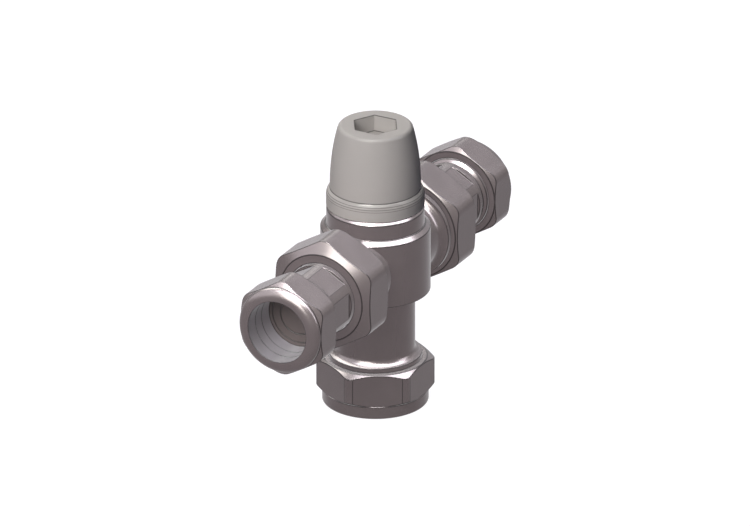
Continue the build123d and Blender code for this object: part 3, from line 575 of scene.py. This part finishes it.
def line_bore(piece, radius):
    """Gives a piece's faces within a radius of the inlets' axis the finish of the bore, which is
    mostly matt and lighter than the plating: painted light in the bore's shade.

    Those that lie as deep as the pipe's stop get the finish of the check valve's shell.
    """
    centres = np.empty(len(piece.data.polygons) * 3)
    piece.data.polygons.foreach_get("center", centres)
    along, across, up = centres.reshape(-1, 3).T
    inside = np.hypot(across, up - INLET_HEIGHT) < radius
    at_stop = np.abs(along) < PIPE_STOP + EDGE_CUT
    for slot in ("bore", "check_shell"):
        piece.data.materials.append(slot_finish(slot))
    index = inside.astype(np.int32) + (inside & at_stop)
    piece.data.polygons.foreach_set("material_index", index)


def finish_piece(piece, body, node_name, material):
    """Gives a piece its finish, sets it on its body and lets it stand for its CAD node.

    The pieces mirror the lamps and the surroundings but not one another, as in the photograph.
    """
    piece.name = f"{node_name}_look"
    piece.data.materials.clear()
    piece.data.materials.append(material)
    piece.visible_glossy = False
    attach(piece, body)
    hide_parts(node_name)


def build(node_name, body, material, corners, **placing):
    """A piece that is one skin, finished and set in the place of its CAD node."""
    piece = skin(node_name, corners, **placing)
    finish_piece(piece, body, node_name, material)
    return piece


WHITE = (1.0, 1.0, 1.0, 1.0)
# Octaves of the noises
CLOUD_DETAIL = 3.0
GRAIN_DETAIL = 2.0


def set_inputs(tree, made, inputs):
    """Sets a node's inputs to values, or links them to sockets."""
    for key, value in inputs.items():
        if isinstance(value, bpy.types.NodeSocket):
            tree.links.new(value, made.inputs[key])
        else:
            made.inputs[key].default_value = value


def node(tree, kind, inputs=None, **settings):
    """A shader node with its settings, and with its inputs set or linked."""
    made = tree.nodes.new(kind)
    for name, value in settings.items():
        setattr(made, name, value)
    set_inputs(tree, made, inputs or {})
    return made


def maths(tree, operation, *values):
    """The result of a math node, each value a number or a socket."""
    return node(tree, "ShaderNodeMath", dict(enumerate(values)), operation=operation).outputs[0]


def noise(tree, place_socket, size, detail=CLOUD_DETAIL):
    """Noise of a real grain size, as a socket from 0 to 1."""
    inputs = {"Vector": place_socket, "Scale": 1 / size, "Detail": detail}
    return node(tree, "ShaderNodeTexNoise", inputs).outputs["Fac"]


def spread(tree, value, low, high):
    """A value from 0 to 1 mapped to lie between low and high."""
    made = node(tree, "ShaderNodeMapRange", {"Value": value, "To Min": low, "To Max": high})
    return made.outputs["Result"]


def mix_colours(tree, factor, first, second):
    """A mix of two colours, each a colour or a socket."""
    inputs = {0: factor, 6: first, 7: second}
    return node(tree, "ShaderNodeMix", inputs, data_type="RGBA").outputs[2]


def opaque(rgb):
    """A colour with full opacity."""
    return (*rgb, 1.0)


def shaded(rgb, factor):
    """A colour made lighter or darker by a factor."""
    return tuple(min(1.0, part * factor) for part in rgb)


def new_material(name):
    """An empty material with a shader: its node tree, the shader and the place on the object."""
    material = bpy.data.materials.new(name)
    material.use_nodes = True
    tree = material.node_tree
    shader = tree.nodes["Principled BSDF"]
    place_socket = node(tree, "ShaderNodeTexCoord").outputs["Object"]
    return material, tree, shader, place_socket


def grained_finish(
    name, rgb, line, line_share, metallic, specular, rough, grain, cloud, tint, bump, depth
):
    """A finish with a fine grain, a soft cloud in its colour and darker lines at the edges.

    The lines follow the piece's own edge attribute. Rough is the noise that the gloss follows,
    either "grain" or "cloud", and the least and greatest roughness.
    """
    found = bpy.data.materials.get(name)
    if found:
        return found
    material, tree, shader, spot = new_material(name)
    noises = {"cloud": noise(tree, spot, cloud), "grain": noise(tree, spot, grain, GRAIN_DETAIL)}
    darker, lighter = (opaque(shaded(rgb, factor)) for factor in (1 - tint, 1 + tint))
    clouded = mix_colours(tree, noises["cloud"], darker, lighter)
    edge = node(tree, "ShaderNodeAttribute", attribute_name="edge").outputs["Fac"]
    lined = mix_colours(tree, maths(tree, "MULTIPLY", edge, line_share), clouded, opaque(line))
    relief = {"Height": noises["grain"], "Strength": bump, "Distance": depth}
    followed, least, most = rough
    inputs = {
        "Base Color": lined,
        "Roughness": spread(tree, noises[followed], least, most),
        "Normal": node(tree, "ShaderNodeBump", relief).outputs["Normal"],
        "Metallic": metallic,
        "Specular IOR Level": specular,
    }
    set_inputs(tree, shader, inputs)
    return material


def plated(scene):
    """Satin plating: a fine even grain, and a soft cloud in its gloss."""
    look = scene.mixing_valve_metal
    return grained_finish(
        "satin_plating",
        look.plating,
        look.line,
        look.line_share,
        look.metallic,
        specular=0.15,
        rough=("cloud", look.roughness - 0.03, look.roughness + 0.03),
        grain=look.grain,
        cloud=look.cloud,
        tint=0.06,
        bump=0.07,
        depth=0.01 * MM,
    )


def moulded_grey(scene):
    """The cap's moulded plastic, with a fine spark texture."""
    look = scene.mixing_valve_plastic
    return grained_finish(
        "moulded_grey",
        look.grey,
        look.line,
        look.line_share,
        look.metallic,
        specular=0.0,
        rough=("grain", look.roughness - 0.02, look.roughness + 0.02),
        grain=look.grain,
        cloud=9 * MM,
        tint=0.03,
        bump=0.06,
        depth=0.02 * MM,
    )


# Each inner finish: its name, colour, how metallic it is, its roughness and its grain
INNER_FINISHES = {
    # The bore's colour is lighter than the plating: painted light inside the bores, where real
    # shade falls.
    "bore": ("bore_painted_light", (0.21, 0.19, 0.20), 0.1, 0.42, 0.3 * MM),
    "check_shell": ("moulded_shell", (0.132, 0.109, 0.105), 0.05, 0.42, 0.3 * MM),
    "brass": ("turned_brass", (0.23, 0.155, 0.07), 0.9, 0.38, 0.3 * MM),
    "valve_plastic": ("valve_plastic", (0.07, 0.066, 0.066), 0.0, 0.42, 0.25 * MM),
    "element_copper": ("element_copper", (0.72, 0.36, 0.2), 1.0, 0.3, 0.3 * MM),
    "fibre": ("pressed_fibre", (0.17, 0.033, 0.018), 0.0, 0.85, 0.15 * MM),
    "rubber": ("black_rubber", (0.012, 0.012, 0.012), 0.0, 0.6, 0.2 * MM),
    "stainless_steel": ("drawn_steel", (0.34, 0.34, 0.33), 1.0, 0.25, 0.2 * MM),
}


def slot_of(name):
    """The record's material slot of a CAD node."""
    parts = frame["record"]["subparts"]
    return next(part["material_slot"] for part in parts if part["node"] == name)


def slot_finish(slot):
    """The inner finish of a material slot."""
    name, rgb, metallic, roughness, grain = INNER_FINISHES[slot]
    return grained_finish(
        name,
        rgb,
        line=shaded(rgb, 0.25),
        line_share=0.85,
        metallic=metallic,
        specular=0.15,
        rough=("grain", roughness * 0.85, roughness * 1.15),
        grain=grain,
        cloud=12 * grain,
        tint=0.06,
        bump=0.08,
        depth=0.02 * MM,
    )


class MIXINGVALVE_OT_body(bpy.types.Operator):
    """Build the valve body: an upright casting, two stubs joined to it, and its bores."""

    bl_idname = "mixing_valve.body"
    bl_label = "Valve body"

    def execute(self, context):
        s = context.scene.mixing_valve_body
        body = skin("valve_body", upright_section(s))
        for side in SIDES.values():
            combine(body, skin("stub", stub_section(s), side=side), "UNION")
        for side in SIDES.values():
            combine(body, skin("stub_bore", stub_bore_section(s), side=side), "DIFFERENCE")
            combine(body, passage(s, side), "DIFFERENCE")
        body.data.set_sharp_from_angle(angle=SHARP)
        finish_piece(body, "valve", "valve_body", plated(context.scene))
        return {"FINISHED"}


def upright_section(s):
    """Corners of the upright part of the body, with its cartridge bore and both galleries."""
    flange_base = OUTLET_NUT_TOP + s.flange_gap
    flange_top = flange_base + s.flange_height
    boss_base = INLET_HEIGHT - s.boss_height / 2
    boss_top = INLET_HEIGHT + s.boss_height / 2
    neck_base = boss_top + s.shoulder
    outlet_stop = SPIGOT_END + s.outlet_socket
    bore_top = INLET_HEIGHT + s.cartridge_above
    bore_base = INLET_HEIGHT - s.cartridge_below
    galleries = []
    for floor in (s.land_half, -s.land_half - s.gallery_height):
        low = INLET_HEIGHT + floor
        high = low + s.gallery_height
        galleries += [
            (s.cartridge_bore, high),
            (s.gallery_radius, high),
            (s.gallery_radius, low),
            (s.cartridge_bore, low),
        ]
    return [
        (s.outlet_bore + s.mouth, SPIGOT_END),
        (s.outlet_thread, SPIGOT_END + s.outlet_thread - s.outlet_bore - s.mouth),
        (s.outlet_thread, flange_base),
        (s.tube_radius + s.tube_cove, flange_base),
        (s.tube_radius + s.tube_cove, flange_top),
        (s.tube_radius, flange_top, s.tube_cove),
        (s.tube_radius, boss_base),
        (s.boss_radius, boss_base),
        (s.boss_radius, boss_top),
        (s.neck_radius + s.neck_step, neck_base),
        (s.neck_radius, neck_base),
        (s.neck_radius, NECK_TOP - s.neck_chamfer),
        (s.neck_radius - s.neck_chamfer, NECK_TOP),
        (s.bonnet_bore, NECK_TOP),
        (s.bonnet_bore, bore_top),
        (s.cartridge_bore, bore_top),
        *galleries,
        (s.cartridge_bore, bore_base),
        (s.tube_bore, bore_base),
        (s.tube_bore, outlet_stop),
        (s.outlet_bore, outlet_stop),
        (s.outlet_bore, SPIGOT_END + s.mouth),
    ]


def stub_section(s):
    """Corners of an inlet stub, still solid, from inside the boss to its end."""
    collar = s.stub_radius + s.stub_cove
    return [
        (0, s.stub_start),
        (s.stub_radius, s.stub_start),
        (s.stub_radius, s.collar_start, s.stub_cove),
        (collar, s.collar_start),
        (collar, s.collar_end),
        (s.stub_thread, s.collar_end),
        (s.stub_thread, STUB_END - s.thread_edge),
        (s.stub_thread - s.thread_edge, STUB_END),
        (0, STUB_END),
    ]


def stub_bore_section(s):
    """Corners of the bore that is cut from a stub, a little longer than the stub."""
    beyond = STUB_END + s.thread_edge
    return [
        (0, s.stub_floor),
        (s.stub_bore, s.stub_floor),
        (s.stub_bore, STUB_END - s.rim_depth),
        (s.rim_bore, STUB_END - s.rim_depth),
        (s.rim_bore, beyond),
        (0, beyond),
    ]


def passage(s, side):
    """The passage from a stub to its gallery: a low slot with ends rounded by a circle.

    Round the slot's middle, its radius is the smaller of h / |cos a| for the slot's half height h
    and -o cos a + sqrt(R^2 - o^2 sin^2 a) for a circle of radius R whose middle is o lower.
    """
    middle = side * (s.land_half + s.gallery_height / 2)
    cosine, sine = np.cos(ROUND_ANGLES), np.sin(ROUND_ANGLES)
    slot = s.gallery_height / 2 / np.maximum(np.abs(cosine), SMALLEST)
    circle = -middle * cosine + np.sqrt(s.passage_radius**2 - (middle * sine) ** 2)
    radius = np.minimum(slot, circle)
    start = s.cartridge_bore - s.thread_edge
    end = s.stub_floor + s.thread_edge
    corners = [(0, start), (radius, start), (radius, end), (0, end)]
    return skin("passage", corners, side=side, lift=middle)


class MIXINGVALVE_OT_outlet_nut(bpy.types.Operator):
    """Build the outlet nut, a hexagon on a round skirt, and the olive inside it."""

    bl_idname = "mixing_valve.outlet_nut"
    bl_label = "Outlet nut"

    def execute(self, context):
        s = context.scene.mixing_valve_outlet_nut
        apart = corner_break(s.flats, s.corner)
        angles = six_angles(apart)
        outer = hexagon(angles, s.flats, s.corner)
        skirt_top = s.skirt_height + rise(np.maximum(outer - s.skirt_radius, 0.0))
        corners = [
            (s.bore, 0.0),
            (s.skirt_radius, 0.0, s.skirt_round),
            (s.skirt_radius, s.skirt_height),
            (outer, skirt_top),
            (outer, OUTLET_NUT_TOP - rise(outer - s.ring_radius)),
            (s.ring_radius, OUTLET_NUT_TOP),
            (s.thread, OUTLET_NUT_TOP),
            (s.thread, s.lip + s.thread - s.bore),
            (s.bore, s.lip),
        ]
        name = "outlet_nut"
        seams = (outer, near_break(angles, apart))
        build(name, name, plated(context.scene), corners, angles=angles, seams=seams)
        olive = olive_section(s.bore, s.olive, OUTLET_OLIVE_BASE, OUTLET_OLIVE_TOP)
        build("outlet_olive", "valve", slot_finish("brass"), olive)
        return {"FINISHED"}


def olive_section(bore, thickness, start, end):
    """Corners of an olive: a ring with a cone at each end."""
    return [
        (bore, start),
        (bore + thickness, start + thickness),
        (bore + thickness, end - thickness),
        (bore, end),
    ]


class MIXINGVALVE_OT_union_nuts(bpy.types.Operator):
    """Build the two large union nuts, with a turned chamfer at each end."""

    bl_idname = "mixing_valve.union_nuts"
    bl_label = "Union nuts"

    def execute(self, context):
        s = context.scene.mixing_valve_union_nuts
        angles = six_angles(corner_break(s.flats, s.corner))
        outer = hexagon(angles, s.flats, s.corner)
        corners = [
            (s.thread, UNION_BACK),
            (s.ring_radius, UNION_BACK),
            (outer, UNION_BACK + rise(outer - s.ring_radius)),
            (outer, UNION_FRONT - rise(outer - s.face_radius, UNION_FRONT_DEG)),
            (s.face_radius, UNION_FRONT),
            (s.hole, UNION_FRONT),
            (s.hole, UNION_FRONT - s.lip),
            (s.thread, UNION_FRONT - s.lip),
        ]
        for water, side in SIDES.items():
            name = f"{water}_union_nut"
            build(name, name, plated(context.scene), corners, angles=angles, side=side)
        return {"FINISHED"}


class MIXINGVALVE_OT_tails(bpy.types.Operator):
    """Build the two inlet tails, with six spanner flats, a relief and a thread's start."""

    bl_idname = "mixing_valve.tails"
    bl_label = "Inlet tails"

    def execute(self, context):
        s = context.scene.mixing_valve_tails
        flat_edge = CORNER - np.arccos(s.flats / 2 / s.radius)
        angles = six_angles(flat_edge)
        flat = s.flats / 2 / np.cos(CORNER - from_corner(angles))
        flat = np.minimum(flat, s.radius - FLAT_SINK)
        corners = [
            (s.bore, TAIL_BASE),
            (s.flange, TAIL_BASE),
            (s.flange, s.flange_end),
            (s.radius, s.flange_end),
            (s.radius, s.flats_start),
            (flat, s.flats_start),
            (flat, s.flats_end),
            (s.radius, s.flats_end),
            (s.radius, s.relief_start),
            (s.radius - s.relief_depth, s.relief_start + s.relief_depth / 2),
            (s.radius - s.relief_depth, s.relief_end),
            (s.thread, s.thread_start),
            (s.thread, TAIL_END - s.rim),
            (s.thread - s.rim, TAIL_END),
            (s.pipe_bore + s.mouth, TAIL_END),
            (s.pipe_bore, TAIL_END - s.mouth),
            (s.pipe_bore, PIPE_STOP),
            (s.check_bore, PIPE_STOP),
            (s.check_bore, s.check_start),
            (s.bore, s.check_start),
        ]
        placing = {"angles": angles, "seams": (flat, near_break(angles, flat_edge))}
        for water, side in SIDES.items():
            name = f"{water}_inlet_tail"
            tail = build(name, "valve", plated(context.scene), corners, side=side, **placing)
            line_bore(tail, s.pipe_bore + EDGE_CUT)
        return {"FINISHED"}


class MIXINGVALVE_OT_compression_nuts(bpy.types.Operator):
    """Build the two compression nuts with their rounded mouths, and the olives inside them."""

    bl_idname = "mixing_valve.compression_nuts"
    bl_label = "Compression nuts"

    def execute(self, context):
        s = context.scene.mixing_valve_compression_nuts
        angles = six_angles(corner_break(s.flats, s.corner))
        outer = hexagon(angles, s.flats, s.corner)
        cone_front = NUT_FRONT - s.lip
        corners = [
            (s.thread, NUT_BACK),
            (s.ring_radius, NUT_BACK),
            (outer, NUT_BACK + rise(outer - s.ring_radius)),
            (outer, s.collar_start - rise(outer - s.collar_radius, COLLAR_DEG)),
            (s.collar_radius, s.collar_start),
            (s.collar_radius, NUT_FRONT, s.round_length, s.round_width),
            (s.bore, NUT_FRONT),
            (s.bore, cone_front),
            (s.thread, cone_front - (s.thread - s.bore)),
        ]
        olive = olive_section(s.bore, s.olive, OLIVE_BACK, OLIVE_FRONT)
        for water, side in SIDES.items():
            name = f"{water}_compression_nut"
            nut = build(name, name, plated(context.scene), corners, angles=angles, side=side)
            line_bore(nut, s.bore + EDGE_CUT)
            # The olives take the bore's finish, with its painted light.
            build(f"{water}_olive", "valve", slot_finish("bore"), olive, side=side)
        return {"FINISHED"}


class MIXINGVALVE_OT_check_valves(bpy.types.Operator):
    """Build the shells and poppets of the check valves, seen at the bottom of the sockets."""

    bl_idname = "mixing_valve.check_valves"
    bl_label = "Check valves"

    def execute(self, context):
        s = context.scene.mixing_valve_check_valves
        chamber = s.radius - s.wall
        groove = s.radius - s.wall / 2
        groove_back = PIPE_STOP - s.seal_back - s.wall / 2
        groove_front = PIPE_STOP - s.seal_back + s.wall / 2
        shell = [
            (chamber, CHECK_END),
            (s.radius, CHECK_END),
            (s.radius, groove_back),
            (groove, groove_back),
            (groove, groove_front),
            (s.radius, groove_front),
            (s.radius, PIPE_STOP),
            (s.port, PIPE_STOP),
            (s.port, PIPE_STOP - s.seat),
            (chamber, PIPE_STOP - s.seat),
        ]
        nose = s.port - s.port_gap
        head_front = PIPE_STOP - s.seat - s.poppet_gap
        poppet = [
            (0, POPPET_END),
            (s.stem, POPPET_END),
            (s.stem, head_front - s.head),
            (s.head_radius, head_front - s.head),
            (s.head_radius, head_front),
            (nose, head_front),
            (nose, PIPE_STOP),
            (0, PIPE_STOP),
        ]
        look = slot_finish("check_shell")
        for water, side in SIDES.items():
            build(f"{water}_check_housing", "valve", look, shell, side=side)
            build(f"{water}_check_poppet", f"{water}_poppet", look, poppet, side=side)
        return {"FINISHED"}


class MIXINGVALVE_OT_cap(bpy.types.Operator):
    """Build the moulded cap: a domed cup with a key socket in its roof and ribs inside."""

    bl_idname = "mixing_valve.cap"
    bl_label = "Cap"

    def execute(self, context):
        s = context.scene.mixing_valve_cap
        angles = six_angles(corner_break(s.key_flats, s.key_corner)) + CORNER
        cap = skin("cap", cap_section(s, angles), angles)
        for k in range(6):
            combine(cap, cap_rib(s, k * SIXTH), "UNION")
        cap.data.set_sharp_from_angle(angle=SHARP)
        finish_piece(cap, "cap", "cap", moulded_grey(context.scene))
        return {"FINISHED"}


def bulge(foot, top):
    """The corner and the cut that turn an upright line into an arc which ends at a higher point."""
    run = foot[0] - top[0]
    lean = 2 * atan2(run, top[1] - foot[1])
    return (foot[0], top[1] - run / tan(lean)), run / sin(lean)


def cap_section(s, angles):
    """Corners of the cap, from under the key socket's floor round the rim to the gate mark."""
    band_top = CAP_BASE + s.band
    ledge_top = band_top + s.ledge
    roof = CAP_TOP - s.wall
    key_base = CAP_TOP - s.key_depth
    turned = angles - CORNER
    socket = hexagon(turned, s.key_flats, s.key_corner)
    socket_wall = hexagon(turned, s.key_flats + 2 * s.key_wall, s.key_corner)
    ledge_corner, ledge_cut = bulge((s.radius, band_top), (s.foot_radius, ledge_top))
    dome_corner, dome_cut = bulge((s.foot_radius, ledge_top), (s.top_radius, CAP_TOP))
    inner_foot = (s.foot_radius - s.wall, ledge_top)
    inner_corner, inner_cut = bulge(inner_foot, (s.top_radius - s.wall, roof))
    spare = 2 * EDGE_CUT
    return [
        (0, key_base - s.key_floor),
        (socket_wall, key_base - s.key_floor),
        (socket_wall, roof),
        (s.top_radius - s.wall, roof),
        (*inner_corner, inner_cut - spare),
        inner_foot,
        (s.radius - s.wall, band_top),
        (s.radius - s.wall, CAP_BASE),
        (s.radius, CAP_BASE),
        (*ledge_corner, ledge_cut, ledge_cut, s.ledge_lines),
        (s.foot_radius, ledge_top),
        (*dome_corner, dome_cut - spare, dome_cut - spare - s.edge),
        (s.top_radius, CAP_TOP, s.edge),
        (socket, CAP_TOP),
        (socket, key_base),
        (s.gate_radius, key_base),
        (s.gate_radius, key_base + s.gate_height),
        (0, key_base + s.gate_height),
    ]


def cap_rib(s, angle):
    """A rib of the cap: a flat bar from its inner end to inside the wall, turned to an angle."""
    half = s.rib_width / 2
    start = CAP_BASE + s.rib_start
    along, across, up = np.meshgrid(
        (s.rib_reach, s.foot_radius - s.wall + s.rib_sink),
        (-half, half),
        (start, start + s.rib_height),
        indexing="ij",
    )
    turned_along = along * cos(angle) - across * sin(angle)
    turned_across = along * sin(angle) + across * cos(angle)
    points = np.stack((turned_along, turned_across, up), axis=-1).reshape(-1, 3)
    faces = [(0, 1, 3, 2), (4, 6, 7, 5), (0, 4, 5, 1), (2, 3, 7, 6), (0, 2, 6, 4), (1, 5, 7, 3)]
    mesh = bpy.data.meshes.new("rib")
    mesh.from_pydata(points.tolist(), [], faces)
    return new_object("rib", mesh)


class MIXINGVALVE_OT_inner_pieces(bpy.types.Operator):
    """Give each CAD piece that still shows the finish of its material slot."""

    bl_idname = "mixing_valve.inner_pieces"
    bl_label = "Inner pieces"

    def execute(self, context):
        for name, piece in frame["nodes"].items():
            if piece.hide_render:
                continue
            slot = slot_of(name)
            piece.data.materials.clear()
            piece.data.materials.append(slot_finish(slot))
            piece.visible_glossy = False
        return {"FINISHED"}


def stage_material(stage):
    """A pale matt floor that shows white to the camera and in reflections, with soft shadows."""
    material, tree, shader, spot = new_material("pale_floor")
    seen = node(tree, "ShaderNodeLightPath").outputs
    either = maths(tree, "MAXIMUM", seen["Is Glossy Ray"], seen["Is Transmission Ray"])
    mirrored = maths(tree, "MULTIPLY", either, stage.mirrored_white)
    darker = opaque(shaded(stage.floor, MOTTLE_SHADE))
    mottle = noise(tree, spot, MOTTLE_SIZE)
    glow = maths(tree, "MULTIPLY_ADD", seen["Is Camera Ray"], stage.seen_white, mirrored)
    inputs = {
        "Base Color": mix_colours(tree, mottle, darker, opaque(stage.floor)),
        "Roughness": 1.0,
        "Specular IOR Level": 0.0,
        "Emission Color": WHITE,
        "Emission Strength": glow,
    }
    set_inputs(tree, shader, inputs)
    return material


def stage_mesh(stage):
    """A floor that curves up into a backdrop behind the object, as one sheet.

    The sheet is straight along one axis. Along the other it is flat, then a quarter circle, then
    upright, so its profile is (x, 0), (x0 + R sin t, R - R cos t) and (x0 + R, z).
    """
    half = stage.floor_size / 2
    bend = stage.floor_size * BEND_SHARE
    turn = np.linspace(0.0, pi / 2, BEND_STEPS)
    profile_x = np.concatenate(([-half], half - bend + bend * np.sin(turn), [half]))
    profile_z = np.concatenate(([0.0], bend - bend * np.cos(turn), [half]))
    rows = np.array([-half, half])
    grid = np.stack(np.broadcast_arrays(profile_x[None], rows[:, None], profile_z[None]), axis=-1)
    count = len(profile_x)
    first = np.arange(count - 1)
    quads = np.stack((first, first + 1, first + 1 + count, first + count), axis=-1)
    mesh = bpy.data.meshes.new("stage")
    mesh.from_pydata(grid.reshape(-1, 3).tolist(), [], quads.tolist())
    mesh.shade_smooth()
    return mesh


def lamp(name, turn, height, span, rise_span, brightness, rgb, reflected):
    """A flat lamp that fills a window of the surroundings as the valve sees them.

    Its middle lies at a turn from +X towards +Y and at a height above the horizon, and it covers
    two spans, all in degrees. It is either seen in reflections or lights the matt surfaces.
    """
    light = bpy.data.lights.new(name, "AREA")
    light.shape = "RECTANGLE"
    light.size = 2 * LAMP_REACH * tan(radians(span / 2))
    light.size_y = 2 * LAMP_REACH * tan(radians(rise_span / 2))
    light.energy = brightness * pi * light.size * light.size_y
    light.color = rgb
    made = new_object(name, light)
    flat = cos(radians(height))
    direction = Vector((flat * cos(radians(turn)), flat * sin(radians(turn)), sin(radians(height))))
    made.location = Vector((0, 0, INLET_HEIGHT)) + direction * LAMP_REACH
    made.rotation_euler = direction.to_track_quat("Z", "Y").to_euler()
    made.visible_diffuse = not reflected
    made.visible_glossy = reflected


# The camera looks along a parallel view, down and round from the front
VIEW_DOWN = radians(24.2)
VIEW_ROUND = radians(-62.3)
VIEW_BACK = Vector(
    (sin(VIEW_ROUND) * cos(VIEW_DOWN), -cos(VIEW_ROUND) * cos(VIEW_DOWN), sin(VIEW_DOWN))
)
VIEW_RIGHT = Vector((cos(VIEW_ROUND), sin(VIEW_ROUND), 0.0))
VIEW_UP = VIEW_BACK.cross(VIEW_RIGHT)
CLIP_END = 20.0

# The bend from the floor to the backdrop, and the floor's mottling
BEND_SHARE = 1 / 6
BEND_STEPS = 25
MOTTLE_SIZE = 40 * MM
MOTTLE_SHADE = 0.995

# The lamps' distance and colours
LAMP_REACH = 1.2
PALE = (0.91, 0.98, 0.94)
VIOLET = (0.88, 0.93, 1.0)
NEUTRAL = (1.0, 0.985, 0.98)
# Each lamp's turn, height, the two spans, brightness, colour, and whether reflections show it
LAMPS = {
    "ceiling": (-115, 80, 84, 56, 10.0, VIOLET, True),
    "front_window": (-160, 57, 50, 24, 12.0, PALE, True),
    "left_window": (178, 40, 34, 56, 10.5, PALE, True),
    "right_window": (-68, 36, 26, 52, 6.0, VIOLET, True),
    "back_window": (56, 46, 44, 30, 9.0, PALE, True),
    "side_glow": (0, 28, 60, 46, 0.6, VIOLET, True),
    "rear_glow": (122, 28, 60, 46, 1.8, VIOLET, True),
    "spark": (178, 67, 13, 8, 190.0, NEUTRAL, True),
    "key": (-176, 36, 36, 36, 8.0, NEUTRAL, False),
    "rear_fill": (40, 30, 44, 44, 5.5, NEUTRAL, False),
}


class MIXINGVALVE_OT_stage(bpy.types.Operator):
    """Build the pale floor and backdrop, the soft lamps and the camera."""

    bl_idname = "mixing_valve.stage"
    bl_label = "Stage"

    def execute(self, context):
        scene = context.scene
        stage = scene.mixing_valve_stage
        floor = new_object("floor", stage_mesh(stage))
        floor.rotation_euler.z = VIEW_ROUND + pi / 2
        floor.data.materials.append(stage_material(stage))
        for name, settings in LAMPS.items():
            lamp(name, *settings)
        self.make_world(scene, stage)
        self.make_camera(scene, stage)
        scene.view_settings.view_transform = "Standard"
        return {"FINISHED"}

    def make_world(self, scene, stage):
        """Plain white surroundings, brighter where the camera or a reflection sees them."""
        world = bpy.data.worlds.new("plain_world")
        world.use_nodes = True
        scene.world = world
        tree = world.node_tree
        seen = node(tree, "ShaderNodeLightPath").outputs
        either = maths(tree, "MAXIMUM", seen["Is Camera Ray"], seen["Is Glossy Ray"])
        inputs = {
            "Strength": spread(tree, either, stage.world, 1.0),
            "Color": mix_colours(tree, either, opaque(stage.world_tint), WHITE),
        }
        set_inputs(tree, tree.nodes["Background"], inputs)

    def make_camera(self, scene, stage):
        """A parallel view at the photograph's angle and scale."""
        camera = new_object("camera", bpy.data.cameras.new("camera"))
        pixel = MM / stage.pixels_per_millimetre
        camera.data.type = "ORTHO"
        camera.data.ortho_scale = stage.picture_width * pixel
        camera.data.clip_end = CLIP_END
        middle = Vector((0, 0, stage.middle_height)) - VIEW_RIGHT * stage.shift_pixels * pixel
        axes = Matrix((VIEW_RIGHT, VIEW_UP, VIEW_BACK)).transposed().to_4x4()
        camera.matrix_world = Matrix.Translation(middle + VIEW_BACK * stage.distance) @ axes
        scene.camera = camera


OPERATORS = (
    MIXINGVALVE_OT_body,
    MIXINGVALVE_OT_outlet_nut,
    MIXINGVALVE_OT_union_nuts,
    MIXINGVALVE_OT_tails,
    MIXINGVALVE_OT_compression_nuts,
    MIXINGVALVE_OT_check_valves,
    MIXINGVALVE_OT_cap,
    MIXINGVALVE_OT_inner_pieces,
    MIXINGVALVE_OT_stage,
)


class MIXINGVALVE_PT_sidebar(bpy.types.Panel):
    """Lists the steps that build the mixing valve's looks."""

    bl_label = "Mixing valve"
    bl_idname = "MIXINGVALVE_PT_sidebar"
    bl_space_type = "VIEW_3D"
    bl_region_type = "UI"
    bl_category = "Mixing valve"

    def draw(self, context):
        for operator in OPERATORS:
            self.layout.operator(operator.bl_idname)


CLASSES = (*GROUPS.values(), *OPERATORS, MIXINGVALVE_PT_sidebar)


def register():
    for made in CLASSES:
        bpy.utils.register_class(made)
    for name, group in GROUPS.items():
        setattr(bpy.types.Scene, name, bpy.props.PointerProperty(type=group))


def unregister():
    for name in GROUPS:
        delattr(bpy.types.Scene, name)
    for made in reversed(CLASSES):
        bpy.utils.unregister_class(made)


def main():
    register()
    for operator in OPERATORS:
        family, step = operator.bl_idname.split(".")
        getattr(getattr(bpy.ops, family), step)()


if __name__ == "__main__":
    main()
